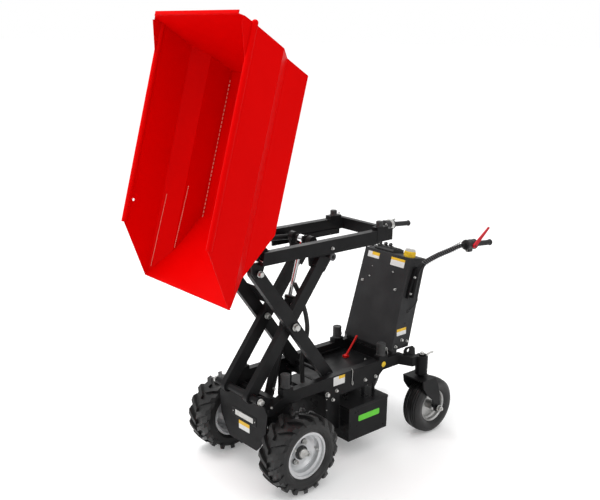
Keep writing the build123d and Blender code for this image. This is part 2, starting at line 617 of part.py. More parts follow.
posts = both(Pos(POST_X, at(TOP_POST_Y), TOP_TOP + TOP_PAD_H) * Cylinder(
    TOP_POST_R, 28, align=(Align.CENTER, Align.CENTER, Align.MIN)))
save("top_bumpers", posts)

# ---- skip ---------------------------------------------------------------
# built level, then tipped about its hinge
FLOOR_Y = HINGE_Y + HINGE_FRONT          # front edge of the floor
FLOOR_Z = HINGE_Z + HINGE_DROP


def skip_solid(inset):
    """The skip as a closed form, moved in by a wall thickness."""
    floor = FLOOR_Z + inset
    top = FLOOR_Z + TAIL_H + (40 if inset else 0)
    taper = (RIM_HALF - TAIL_HALF) / (TAIL_H - WALL_H)
    section = [
        (FLOOR_HALF - inset, floor), (FLOOR_HALF - inset, FLOOR_Z + STEP_LOW),
        (RIM_HALF - inset, FLOOR_Z + STEP_HIGH), (RIM_HALF - inset, FLOOR_Z + WALL_H),
        (TAIL_HALF - inset - taper * (top - FLOOR_Z - TAIL_H), top)]
    outline = section + [(-x, z) for x, z in reversed(section)]
    rear = FLOOR_Y + FLOOR_LEN
    front = FLOOR_Y - CHUTE_LEN
    length = rear + REAR_LEAN * TAIL_H - front + 80
    body = extrude(Plane.XZ.offset(-at(front - 40)) * Polygon(*outline, align=None), -length)
    slope = CHUTE_RISE / CHUTE_LEN
    lift = inset * math.hypot(1, slope)
    lean = inset * math.hypot(1, REAR_LEAN)
    tall = TAIL_H + 40
    side = [
        (FLOOR_Y, FLOOR_Z + lift), (rear - lean, FLOOR_Z),
        (rear - lean + REAR_LEAN * tall, FLOOR_Z + tall),
        (front - (60 if inset else 0), FLOOR_Z + tall),
        (front - (60 if inset else 0), FLOOR_Z + lift + CHUTE_RISE + (60 * slope if inset else 0))]
    return body & side_plate(side, -RIM_HALF - 5, RIM_HALF + 5)


skip = skip_solid(0) - skip_solid(SKIP_WALL)
rear_rim = FLOOR_LEN + REAR_LEAN * WALL_H
rear_top = FLOOR_LEN + REAR_LEAN * TAIL_H
rim_z = FLOOR_Z + WALL_H
above = TAIL_H + 60
skip -= side_plate([
    (FLOOR_Y - CHUTE_LEN - 90, FLOOR_Z + CHUTE_RISE), (FLOOR_Y - CHUTE_LEN, FLOOR_Z + CHUTE_RISE),
    (FLOOR_Y - RIM_SET, rim_z), (FLOOR_Y + rear_rim - EAR_LEN, rim_z),
    (FLOOR_Y + rear_top, FLOOR_Z + TAIL_H), (FLOOR_Y + rear_top + 90, FLOOR_Z + TAIL_H),
    (FLOOR_Y + rear_top + 90, FLOOR_Z + above), (FLOOR_Y - CHUTE_LEN - 90, FLOOR_Z + above)],
    -RIM_HALF - 5, RIM_HALF + 5)
tail_y, tail_z = FLOOR_Y + rear_top, FLOOR_Z + TAIL_H
corner = front_plate_of([
    (TAIL_HALF - TAIL_CORNER, tail_z + 1), (RIM_HALF, tail_z + 1),
    (RIM_HALF, tail_z - TAIL_CORNER)], tail_y - TAIL_CORNER, tail_y + 2)
skip -= both(corner)
skip += block((TAIL_CORNER - TAIL_HALF, TAIL_HALF - TAIL_CORNER), (tail_y - 1, tail_y + TAIL_HEM),
              (tail_z - SKIP_WALL, tail_z))
lip_y, lip_z = FLOOR_Y - CHUTE_LEN, FLOOR_Z + CHUTE_RISE
skip += side_plate([
    (lip_y, lip_z), (lip_y + SKIP_WALL, lip_z), (lip_y + SKIP_WALL, lip_z - LIP_FLANGE),
    (lip_y, lip_z - LIP_FLANGE)], SKIP_WALL - RIM_HALF, RIM_HALF - SKIP_WALL)
rim = rod((RIM_HALF + 2, FLOOR_Y - RIM_SET, rim_z - 4),
          (RIM_HALF + 2, FLOOR_Y + rear_rim, rim_z - 4), RIM_R_TUBE)
rim += Pos(RIM_HALF + 2, at(FLOOR_Y + rear_rim), rim_z - 4) * Sphere(RIM_R_TUBE)
skip += both(rim)
skip -= disc_x(FLOOR_Y + RIM_HOLE_R * 2, rim_z - RIM_R_TUBE * 2, RIM_HOLE_R,
               -RIM_HALF - 1, SKIP_WALL - RIM_HALF + 1)
LUG_PIN = (HINGE_Y + TIP_ARM[0], HINGE_Z + TIP_ARM[1])
lug_in, lug_out = TIP_X + TIP_EYE_W / 2 + 2, TIP_X + TIP_EYE_W / 2 + 2 + TIP_CHEEK_T
lever = side_plate([
    (FLOOR_Y - 24, FLOOR_Z + 16), (FLOOR_Y + 60, FLOOR_Z + 1), (HINGE_Y + 30, HINGE_Z - 14),
    (LUG_PIN[0] + 14, LUG_PIN[1] - 4), (LUG_PIN[0] + 4, LUG_PIN[1] - 14),
    (LUG_PIN[0] - 12, LUG_PIN[1] - 8), (HINGE_Y - 18, HINGE_Z - 4),
    (HINGE_Y - 12, HINGE_Z + 14)], lug_in, lug_out)
lever += disc_x(HINGE_Y, HINGE_Z, HINGE_PIN_R, lug_out, TOP_IN + 18)
skip += both(lever)
HINGE_AXIS = Axis((0, at(HINGE_Y), HINGE_Z), (1, 0, 0))
skip = skip.rotate(HINGE_AXIS, TIP_ANGLE)
save("skip", skip)


# ---- cylinders ----------------------------------------------------------
def turned_pin(arm, degrees):
    a = math.radians(degrees)
    return (HINGE_Y + arm[0] * math.cos(a) - arm[1] * math.sin(a),
            HINGE_Z + arm[0] * math.sin(a) + arm[1] * math.cos(a))


def along(p, q, distance):
    length = math.dist(p, q)
    return tuple(a + (b - a) * distance / length for a, b in zip(p, q))


def cylinder_pair(x, p, q, tube_r, rod_r, tube_len, rod_in, eye_r, eye_w, pin_r):
    """A barrel hinged at p and its rod ending in an eye round q."""
    mouth = along(p, q, tube_len)
    start = along(p, q, eye_r + 6)
    barrel = disc_x(p[0], p[1], eye_r, x - eye_w / 2, x + eye_w / 2)
    barrel += rod((x, *along(p, q, eye_r * 0.5)), (x, *start), eye_w / 2)
    barrel += rod((x, *start), (x, *mouth), tube_r)
    barrel -= disc_x(p[0], p[1], pin_r, x - tube_r - 5, x + tube_r + 5)
    bottom = along(p, q, eye_r + BARREL_END)
    barrel -= rod((x, *bottom), (x, *along(p, q, tube_len + 1)), rod_r + 0.05)
    ram = rod((x, *along(p, q, rod_in)), (x, *along(p, q, math.dist(p, q) - eye_r * 0.8)), rod_r)
    ram += disc_x(q[0], q[1], eye_r, x - eye_w / 2, x + eye_w / 2)
    return barrel, ram


barrel, ram = cylinder_pair(0, LIFT_BASE, LEVER, LIFT_TUBE_R, LIFT_ROD_R, LIFT_TUBE_LEN,
                            LIFT_ROD_IN, EYE_R, EYE_W, CYL_PIN_R + 0.05)
save("lift_cylinder_barrel", barrel)
save("lift_cylinder_rod", ram)
tip_pin = turned_pin(TIP_ARM, TIP_ANGLE)
barrel, ram = cylinder_pair(TIP_X, TIP_BASE, tip_pin, TIP_TUBE_R, TIP_ROD_R, TIP_TUBE_LEN,
                            TIP_ROD_IN, TIP_EYE_R, TIP_EYE_W, TIP_PIN_R + 0.05)
save("tip_cylinder_barrels", both(barrel))
save("tip_cylinder_rods", both(ram))

# ---- console ------------------------------------------------------------
lean = (CONSOLE_Y[1] - CONSOLE_Y[0]) / (CONSOLE_Z[1] - CONSOLE_Z[0])
lean_angle = math.atan(lean)


def console_station(z):
    """Front face y and half width of the console at a height."""
    t = (z - CONSOLE_Z[0]) / (CONSOLE_Z[1] - CONSOLE_Z[0])
    y = CONSOLE_Y[0] + t * (CONSOLE_Y[1] - CONSOLE_Y[0])
    half = CONSOLE_HALF_LOW + t * (CONSOLE_HALF_HIGH - CONSOLE_HALF_LOW)
    return y, half


def console_section(z):
    y, half = console_station(z)
    return Pos(0, at(y + CONSOLE_DEPTH / 2), z) * Rectangle(2 * half, CONSOLE_DEPTH)


foot = RAIL_TOP
body = loft([console_section(CONSOLE_Z[0]), console_section(CONSOLE_Z[1])])
deck_y, deck_half = console_station(CONSOLE_Z[1])
fall = DECK_FALL / CONSOLE_DEPTH


def deck_z(y):
    """Height of the sloping top at a station."""
    return CONSOLE_Z[1] - fall * (y - deck_y)


body -= side_plate([
    (deck_y - 10, deck_z(deck_y - 10)), (deck_y + CONSOLE_DEPTH + 10, deck_z(deck_y + CONSOLE_DEPTH + 10)),
    (deck_y + CONSOLE_DEPTH + 10, CONSOLE_Z[1] + 20), (deck_y - 10, CONSOLE_Z[1] + 20)],
    -CONSOLE_HALF_LOW, CONSOLE_HALF_LOW)
body += block((FOOT_SET - BASE_HALF, BASE_HALF - FOOT_SET), FOOT_Y, (foot, CONSOLE_Z[0] + 10))
save("console", body)
panel_y = (deck_y + PANEL_SET[0], deck_y + CONSOLE_DEPTH - PANEL_SET[1])
save("control_panel", side_plate([
    (panel_y[0], deck_z(panel_y[0])), (panel_y[1], deck_z(panel_y[1])),
    (panel_y[1], deck_z(panel_y[1]) + PANEL_H), (panel_y[0] + 8, deck_z(panel_y[0]) + PANEL_H),
    (panel_y[0], deck_z(panel_y[0]) + PANEL_H / 2)], *PANEL_X))
CAP_Y = deck_y + CAP_SET + CAP_R / 2
cap = Cylinder(CAP_R, CAP_H, align=(Align.CENTER, Align.CENTER, Align.MIN))
cap = Pos(CAP_X, at(CAP_Y), deck_z(CAP_Y)) * Rot(-math.degrees(math.atan(fall)), 0, 0) * cap
save("filler_cap", cap)

# handlebar: a tube up each side of the console, then back and out to the grip
bar_tube = BAR_R - 3
bar_x = CONSOLE_HALF_HIGH + BAR_R + BAR_STANDOFF
grip_fall = GRIP_DROP / GRIP_LEN
grip_start = (GRIP_X, GRIP_END_Y - GRIP_LEN, GRIP_END_Z + GRIP_DROP)
bar_end = (GRIP_X, GRIP_END_Y - 4, GRIP_END_Z + 4 * grip_fall)
bar_turn = (GRIP_X, GRIP_END_Y - BAR_STRAIGHT, GRIP_END_Z + BAR_STRAIGHT * grip_fall)
bar_points = [
    (bar_x + 5, 908, 790), (bar_x, 950, 935), (bar_x + 6, 986, 980), (bar_x + 39, 1062, 1020),
    (GRIP_X - 30, 1128, 1053), bar_turn, bar_end]
route = FilletPolyline(*[Vector(x, at(y), z) for x, y, z in bar_points], radius=BAR_BEND)
bar = sweep(Plane(origin=route @ 0, z_dir=route % 0) * Circle(bar_tube), path=route)
bracket = side_plate([
    (878, 790), (918, 786), (968, 930), (962, 954), (936, 948), (896, 850)],
    CONSOLE_HALF_HIGH, bar_x)
bar += bracket
bar -= body
save("handlebar", both(bar))
grip = rod((GRIP_X, GRIP_END_Y - GRIP_LEN + CLAMP_GAP, grip_start[2] - CLAMP_GAP * grip_fall),
           (GRIP_X, GRIP_END_Y, GRIP_END_Z), GRIP_R)
grip -= rod(grip_start, bar_end, bar_tube + 0.05)
save("grips", both(grip))

# clamps and hand levers just ahead of the grips
clamp_front = GRIP_END_Y - GRIP_LEN - CLAMP_GAP - CLAMP_LEN
LEVER_PIVOT = (clamp_front + 0.55 * CLAMP_LEN, grip_start[2] + 1)
blade_in = GRIP_X + CLAMP_R + 1
blade_out = blade_in + BLADE_T
clamp = rod((GRIP_X, clamp_front, grip_start[2] + (grip_start[1] - clamp_front) * grip_fall),
            (GRIP_X, clamp_front + CLAMP_LEN, grip_start[2] + CLAMP_GAP * grip_fall), CLAMP_R)
clamp -= rod(bar_turn, bar_end, bar_tube + 0.05)
clamp += disc_x(*LEVER_PIVOT, LEVER_PIN_R, GRIP_X + BAR_R + 3, blade_out + 2)
save("bar_clamps", both(clamp))


def hand_lever(reach, rise, root, tip):
    """A flat blade on the clamp's pin, widest at its root."""
    y, z = LEVER_PIVOT
    angle = math.atan2(rise, reach)
    across = (-math.sin(angle), math.cos(angle))
    outline = []
    for along_y, along_z, half in ((0, 0, root), (reach, rise, tip)):
        for hand in ((1, -1) if not outline else (-1, 1)):
            outline.append((y + along_y + hand * half * across[0],
                            z + along_z + hand * half * across[1]))
    blade = side_plate(outline, blade_in, blade_out)
    blade += disc_x(y, z, root, blade_in, blade_out)
    blade += disc_x(y + reach, z + rise, tip, blade_in, blade_out)
    return blade - disc_x(y, z, LEVER_PIN_R + 0.05, blade_in - 1, blade_out + 1)


save("drive_lever", hand_lever(118, 88, 13, 5))
save("brake_lever", mirror(hand_lever(92, 20, 10, 4), Plane.YZ))

# safety prop that holds the raised scissor, stowed on the tray
PROP_R = 6.0
prop = rod((PROP_X, PROP_Y[0], RAIL_Z + TRAY_T + PROP_R), (PROP_X, PROP_Y[1], PROP_TOP), PROP_R)
prop += block((PROP_X - 12, PROP_X + 12), (PROP_Y[0] - 14, PROP_Y[0] + 14),
              (RAIL_Z + TRAY_T, RAIL_Z + TRAY_T + 2 * PROP_R))
save("safety_prop", prop)
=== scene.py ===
"""Looks of the walk-behind dumper: finishes, bolts, plates, hoses and small trim round the CAD frame."""
import json
import math

import bmesh
import bpy
from mathutils import Matrix, Vector


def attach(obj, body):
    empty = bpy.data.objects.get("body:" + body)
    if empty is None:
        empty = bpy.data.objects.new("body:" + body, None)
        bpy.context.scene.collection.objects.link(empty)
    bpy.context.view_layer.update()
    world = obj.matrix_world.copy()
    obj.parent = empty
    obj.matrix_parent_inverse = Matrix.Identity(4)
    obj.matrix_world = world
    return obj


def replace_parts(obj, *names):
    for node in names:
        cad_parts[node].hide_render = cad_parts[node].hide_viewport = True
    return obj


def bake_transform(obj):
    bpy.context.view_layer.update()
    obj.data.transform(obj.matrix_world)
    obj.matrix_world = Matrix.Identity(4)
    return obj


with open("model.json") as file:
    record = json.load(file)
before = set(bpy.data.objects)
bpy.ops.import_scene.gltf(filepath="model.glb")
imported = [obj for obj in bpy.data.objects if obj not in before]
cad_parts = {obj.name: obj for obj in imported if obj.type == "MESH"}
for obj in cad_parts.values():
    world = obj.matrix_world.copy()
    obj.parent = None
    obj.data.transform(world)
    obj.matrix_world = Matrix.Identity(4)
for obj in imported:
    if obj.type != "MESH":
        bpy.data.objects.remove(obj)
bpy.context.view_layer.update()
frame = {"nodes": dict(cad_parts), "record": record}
NODES = frame["nodes"]


# ---- camera, floor and light -------------------------------------------
EYE = (3.0726, -2.894, 2.1911)
YAW, PITCH, ROLL = 0.848, 0.254, 0.018
LENS_MM, SENSOR_MM = 49.6, 36
SKY_LOW, SKY_HIGH, HIGH_FROM = 0.42, 1.15, 0.9
FLOOR_GLOW = 0.2
LIGHTS = (  # name, place and aim in metres, size in metres, power in watts
    ("key", (-1.2, -2.0, 5.8), (0, 0, 0.8), 2.6, 130),
    ("front", (-1.6, -5.0, 1.9), (0, -0.4, 1.3), 2.6, 15),
    ("fill", (4.4, -0.6, 3.4), (0, 0.2, 0.8), 2.4, 12),
    ("back", (-3.4, 2.6, 3.8), (0, 0, 1.0), 2.4, 40),
)


def make_camera():
    """A camera at EYE: yawed from straight ahead, pitched down, rolled, all in radians."""
    back = Vector((math.sin(YAW) * math.cos(PITCH), -math.cos(YAW) * math.cos(PITCH), math.sin(PITCH)))
    level_right = Vector((math.cos(YAW), math.sin(YAW), 0))
    right = math.cos(ROLL) * level_right + math.sin(ROLL) * back.cross(level_right)
    turn = Matrix((right, back.cross(right), back)).transposed().to_4x4()
    data = bpy.data.cameras.new("camera")
    data.sensor_width = SENSOR_MM
    data.lens = LENS_MM
    camera = bpy.data.objects.new("camera", data)
    camera.matrix_world = Matrix.Translation(EYE) @ turn
    bpy.context.scene.collection.objects.link(camera)
    bpy.context.scene.camera = camera


def area_light(name, place, aim, size, power):
    data = bpy.data.lights.new(name, "AREA")
    data.shape = "DISK"
    data.size = size
    data.energy = power
    lamp = bpy.data.objects.new(name, data)
    lamp.location = place
    lamp.rotation_euler = (Vector(aim) - Vector(place)).to_track_quat("-Z", "Y").to_euler()
    bpy.context.scene.collection.objects.link(lamp)


def make_sky():
    """White where the camera sees it, and a gentler dome for the light on the part."""
    world = bpy.data.worlds.new("studio")
    bpy.context.scene.world = world
    world.use_nodes = True
    tree = world.node_tree
    sky = tree.nodes["Background"]
    sky.inputs["Color"].default_value = (1, 1, 1, 1)
    seen = tree.nodes.new("ShaderNodeLightPath").outputs["Is Camera Ray"]
    spot = tree.nodes.new("ShaderNodeTexCoord").outputs["Generated"]
    height = tree.nodes.new("ShaderNodeSeparateXYZ")
    tree.links.new(spot, height.inputs["Vector"])
    dome = tree.nodes.new("ShaderNodeMapRange")
    dome.inputs["From Max"].default_value = HIGH_FROM
    dome.inputs["To Min"].default_value = SKY_LOW
    dome.inputs["To Max"].default_value = SKY_HIGH
    tree.links.new(height.outputs["Z"], dome.inputs["Value"])
    strength = tree.nodes.new("ShaderNodeMapRange")
    strength.inputs["To Max"].default_value = 1.0
    tree.links.new(dome.outputs["Result"], strength.inputs["To Min"])
    tree.links.new(seen, strength.inputs["Value"])
    tree.links.new(strength.outputs["Result"], sky.inputs["Strength"])


def make_floor():
    """A wide pale floor that glows a little for the camera, so that it runs into the sky."""
    bpy.ops.mesh.primitive_plane_add(size=400, location=(0, 0, 0))
    floor = bpy.context.object
    floor.name = "floor"
    surface = bpy.data.materials.new("floor")
    surface.use_nodes = True
    tree = surface.node_tree
    shader = tree.nodes["Principled BSDF"]
    shader.inputs["Base Color"].default_value = (0.9, 0.9, 0.9, 1)
    shader.inputs["Roughness"].default_value = 0.9
    shader.inputs["Specular IOR Level"].default_value = 0.1
    shader.inputs["Emission Color"].default_value = (1, 1, 1, 1)
    glow = tree.nodes.new("ShaderNodeMath")
    glow.operation = "MULTIPLY"
    glow.inputs[1].default_value = FLOOR_GLOW
    seen = tree.nodes.new("ShaderNodeLightPath").outputs["Is Camera Ray"]
    tree.links.new(seen, glow.inputs[0])
    tree.links.new(glow.outputs["Value"], shader.inputs["Emission Strength"])
    floor.data.materials.append(surface)


def make_stage():
    """White sweep with four soft lights."""
    make_sky()
    view = bpy.context.scene.view_settings
    view.view_transform = "Standard"
    view.look = "None"
    make_floor()
    for light in LIGHTS:
        area_light(*light)


# ---- materials ----------------------------------------------------------
class Shade:
    """A node material round one Principled shader."""

    def __init__(self, name, color, rough, metal=0.0, coat=0.0, spec=0.5):
        self.mat = bpy.data.materials.new(name)
        self.mat.use_nodes = True
        self.tree = self.mat.node_tree
        self.shader = self.tree.nodes["Principled BSDF"]
        self.shader.inputs["Base Color"].default_value = (*color, 1)
        self.shader.inputs["Roughness"].default_value = rough
        self.shader.inputs["Metallic"].default_value = metal
        self.shader.inputs["Coat Weight"].default_value = coat
        self.shader.inputs["Coat Roughness"].default_value = 0.06
        self.shader.inputs["Specular IOR Level"].default_value = spec
        self.where = self.node("ShaderNodeTexCoord").outputs["Object"]
        self.color = color
        self.bump_out = None

    def node(self, kind, **values):
        made = self.tree.nodes.new(kind)
        for key, value in values.items():
            setattr(made, key, value)
        return made

    def link(self, a, b):
        self.tree.links.new(a, b)

    def noise(self, scale, detail=3.0, stretch=(1, 1, 1)):
        place = self.node("ShaderNodeMapping")
        place.inputs["Scale"].default_value = stretch
        self.link(self.where, place.inputs["Vector"])
        grain = self.node("ShaderNodeTexNoise")
        grain.inputs["Scale"].default_value = scale
        grain.inputs["Detail"].default_value = detail
        self.link(place.outputs["Vector"], grain.inputs["Vector"])
        return grain.outputs["Fac"]

    def ramp(self, source, *stops):
        """Maps 0..1 to grey or colour stops given as (position, value)."""
        band = self.node("ShaderNodeValToRGB")
        points = band.color_ramp.elements
        while len(points) < len(stops):
            points.new(0.5)
        for point, (place, value) in zip(points, stops):
            point.position = place
            shade = (value, value, value) if isinstance(value, float) else value
            point.color = (*shade, 1)
        self.link(source, band.inputs["Fac"])
        return band.outputs["Color"]

    def vary_color(self, source, *stops):
        self.link(self.ramp(source, *stops), self.shader.inputs["Base Color"])

    def vary_rough(self, source, *stops):
        self.link(self.ramp(source, *stops), self.shader.inputs["Roughness"])

    def bump(self, source, strength, depth):
        lift = self.node("ShaderNodeBump")
        lift.inputs["Strength"].default_value = strength
        lift.inputs["Distance"].default_value = depth
        self.link(source, lift.inputs["Height"])
        if self.bump_out is not None:
            self.link(self.bump_out, lift.inputs["Normal"])
        self.bump_out = lift.outputs["Normal"]
        self.link(self.bump_out, self.shader.inputs["Normal"])

    def soft_edges(self, radius):
        """Shades sharp edges as if they were slightly rounded."""
        edge = self.node("ShaderNodeBevel")
        edge.inputs["Radius"].default_value = radius
        edge.samples = 4
        self.bump_out = edge.outputs["Normal"]

    def edge_wear(self, tint, reach=0.004, most=0.6):
        """Blends up to a share of a worn tint in, where the surface's edges are rubbed."""
        edge = self.node("ShaderNodeBevel")
        edge.inputs["Radius"].default_value = reach
        edge.samples = 4
        plain = self.node("ShaderNodeNewGeometry")
        gap = self.node("ShaderNodeVectorMath", operation="DISTANCE")
        self.link(edge.outputs["Normal"], gap.inputs[0])
        self.link(plain.outputs["Normal"], gap.inputs[1])
        share = self.node("ShaderNodeMapRange")
        share.inputs["From Min"].default_value = 0.15
        share.inputs["From Max"].default_value = 0.7
        share.inputs["To Max"].default_value = most
        self.link(gap.outputs["Value"], share.inputs["Value"])
        spread = self.node("ShaderNodeMath", operation="MULTIPLY")
        self.link(share.outputs["Result"], spread.inputs[0])
        self.link(self.noise(45, 4), spread.inputs[1])
        mix = self.node("ShaderNodeMix", data_type="RGBA")
        base = self.shader.inputs["Base Color"]
        if base.links:
            self.link(base.links[0].from_socket, mix.inputs["A"])
        else:
            mix.inputs["A"].default_value = (*self.color, 1)
        mix.inputs["B"].default_value = (*tint, 1)
        self.link(spread.outputs["Value"], mix.inputs["Factor"])
        self.link(mix.outputs["Result"], base)


def powder_coat(name, color, rough, grain):
    """Black powder coat: fine grain, faint mottling, rubbed edges."""
    s = Shade(name, color, rough, spec=0.12)
    s.soft_edges(0.0022)
    lighter = tuple(c * 1.35 + 0.003 for c in color)
    s.vary_color(s.noise(7, 4), (0.35, color), (0.7, lighter))
    s.vary_rough(s.noise(12, 3), (0.3, rough - 0.05), (0.7, rough + 0.1))
    s.bump(s.noise(900, 2), grain, 0.0006)
    s.edge_wear(tuple(c * 3 + 0.02 for c in color))
    return s.mat


def red_paint():
    """Even red over sheet steel: slight orange peel and a soft ripple."""
    s = Shade("red_paint", (0.72, 0.0002, 0.0002), 0.45, spec=0.03)
    s.soft_edges(0.003)
    s.vary_color(s.noise(2.2, 3), (0.3, (0.7, 0.0002, 0.0002)), (0.7, (0.75, 0.0003, 0.0003)))
    s.vary_rough(s.noise(9, 4), (0.3, 0.32), (0.75, 0.44))
    s.bump(s.noise(260, 2), 0.03, 0.0005)
    s.bump(s.noise(3.5, 1), 0.05, 0.003)
    return s.mat


def rubber(name, color, rough, dust):
    """Dull rubber with patches of a dustier tone."""
    s = Shade(name, color, rough, spec=0.4)
    s.vary_color(s.noise(9, 5), (0.35, color), (0.75, dust))
    s.vary_rough(s.noise(30, 3), (0.3, rough - 0.08), (0.7, rough + 0.1))
    s.bump(s.noise(420, 3), 0.25, 0.0008)
    return s.mat


def rim_paint():
    """Silver wheel paint."""
    s = Shade("rim_silver", (0.66, 0.67, 0.68), 0.3, metal=0.55, coat=0.3)
    s.soft_edges(0.0016)
    s.vary_color(s.noise(14, 4), (0.3, (0.62, 0.63, 0.64)), (0.7, (0.7, 0.71, 0.72)))
    s.vary_rough(s.noise(40, 3), (0.3, 0.3), (0.7, 0.38))
    s.bump(s.noise(700, 2), 0.06, 0.0005)
    return s.mat


def bare_steel(name, color, rough):
    """Zinc-plated steel with a faint drawn grain."""
    s = Shade(name, color, rough, metal=1.0)
    darker = tuple(c * 0.78 for c in color)
    s.vary_color(s.noise(60, 4), (0.3, darker), (0.7, color))
    s.vary_rough(s.noise(180, 3, (1, 1, 8)), (0.3, rough - 0.06), (0.7, rough + 0.12))
    s.bump(s.noise(500, 2, (1, 6, 1)), 0.06, 0.0004)
    return s.mat


def chrome():
    """Hard chrome on the cylinder rods."""
    s = Shade("chrome", (0.86, 0.86, 0.87), 0.08, metal=1.0)
    s.vary_rough(s.noise(90, 2), (0.3, 0.05), (0.7, 0.13))
    return s.mat


def plastic(name, color, rough, grain=0.1, spec=0.4):
    """Moulded plastic, or print and primer when the grain is low."""
    s = Shade(name, color, rough, spec=spec)
    darker = tuple(c * 0.86 for c in color)
    s.vary_color(s.noise(25, 3), (0.3, darker), (0.7, color))
    s.vary_rough(s.noise(70, 2), (0.3, rough - 0.05), (0.7, rough + 0.08))
    s.bump(s.noise(800, 2), grain, 0.0005)
    return s.mat


MATS = {
    "frame_black": powder_coat("frame_black", (0.0065, 0.0065, 0.007), 0.36, 0.16),
    "scissor_black": powder_coat("scissor_black", (0.01, 0.01, 0.0105), 0.34, 0.14),
    "console_black": powder_coat("console_black", (0.026, 0.026, 0.027), 0.42, 0.3),
    "battery_black": powder_coat("battery_black", (0.007, 0.007, 0.0075), 0.28, 0.1),
    "skip_red": red_paint(),
    "tyre_rubber": rubber("tyre_rubber", (0.008, 0.008, 0.0085), 0.36, (0.018, 0.0175, 0.017)),
    "bumper_rubber": rubber("bumper_rubber", (0.024, 0.024, 0.025), 0.5, (0.036, 0.036, 0.036)),
    "grip_rubber": rubber("grip_rubber", (0.012, 0.012, 0.013), 0.6, (0.022, 0.022, 0.022)),
    "rim_silver": rim_paint(),
    "caster_zinc": bare_steel("caster_zinc", (0.55, 0.55, 0.54), 0.34),
    "zinc_steel": bare_steel("zinc_steel", (0.62, 0.62, 0.6), 0.3),
    "chrome_rod": chrome(),
    "cap_yellow": plastic("cap_yellow", (0.86, 0.56, 0.02), 0.42),
    "lever_red": plastic("lever_red", (0.56, 0.003, 0.016), 0.38, 0.03, spec=0.2),
    "plastic_black": plastic("plastic_black", (0.02, 0.02, 0.021), 0.45),
    "drive_alloy": bare_steel("drive_alloy", (0.12, 0.12, 0.125), 0.45),
    "prop_red": plastic("prop_red", (0.6, 0.008, 0.006), 0.38, 0.03, spec=0.2),
}
STICKER_WHITE = plastic("sticker_white", (0.78, 0.78, 0.76), 0.34, 0.03)
STICKER_YELLOW = plastic("sticker_yellow", (0.86, 0.52, 0.02), 0.36, 0.03)
STICKER_GREEN = plastic("sticker_green", (0.13, 0.68, 0.03), 0.34, 0.03)
PALE_PLASTIC = plastic("pale_plastic", (0.5, 0.5, 0.48), 0.4, 0.1)
SPIRAL_WRAP = plastic("spiral_wrap", (0.13, 0.13, 0.135), 0.24, 0.05)
# pale weld colour; it also paints the highlight line along a fold in the skip
WELD_PRIMER_AND_FOLD_HIGHLIGHT = plastic("weld_primer_and_fold_highlight", (0.85, 0.36, 0.28), 0.4, 0.3)
SLOT_OF = {part["node"]: part["material_slot"] for part in frame["record"]["subparts"]}
for node_name, node in NODES.items():
    look = "drive_alloy" if "rollers" in node_name else SLOT_OF[node_name]
    node.data.materials.clear()
    node.data.materials.append(MATS[look])


# ---- places on the machine, in mm with y from the front axle ---------------
AXLE_AHEAD = 434                     # from the shared frame's middle to the front axle
WHEEL_Z, HUB_FACE, HUB_TIP, DISC_FACE = 203, 317, 334, 303
CASTER_X, CASTER_Y, CASTER_Z = 280, 997, 160
FORK_OUTER, FORK_INNER, STEM_Y, STEM_TOP = 367, 193, 928, 477
RAIL_SIDE, FRONT_FACE, BOX_SIDE = 198, -118, 265
PIVOT_Y, LOW_PIN_END, HIGH_PIN_END = -146, 178, 171
CENTRE_Y, CENTRE_Z, CENTRE_OUTER, CENTRE_INNER = 96.7, 785, 152, 71
POST_X, POST_YS, POST_Z, POST_R = 175, (14, 703), (498, 565), 24.9
TOP_POST_Y, TOP_POST_Z, TOP_POST_R = 648, (1229, 1257), 18.5
LIFT_LOW, LIFT_HIGH = (0, 45, 355), (0, 263.3, 1186)
GRIP_LOW, GRIP_TOP = (313, 1441, 1051.9), (313, 1294, 1063.7)
BAR = [(202, 908, 790), (197, 950, 935), (203, 986, 980), (236, 1062, 1020), (283, 1128, 1053),
       (313, 1178, 1085), (313, 1215, 1071)]
CAP = (128, 953.5, 1003)
OUT, UP, AHEAD = (1, 0, 0), (0, 0, 1), (0, -1, 0)
LEAN = (0, -0.966, 0.258)            # out of the console's front
TOP_LEAN = (0, 0.166, 0.986)         # out of the console's top


# ---- building added pieces ----------------------------------------------
def at(x, y, z):
    """Millimetres, with y from the front axle, to metres in the shared frame."""
    return Vector((x, y - AXLE_AHEAD, z)) / 1000


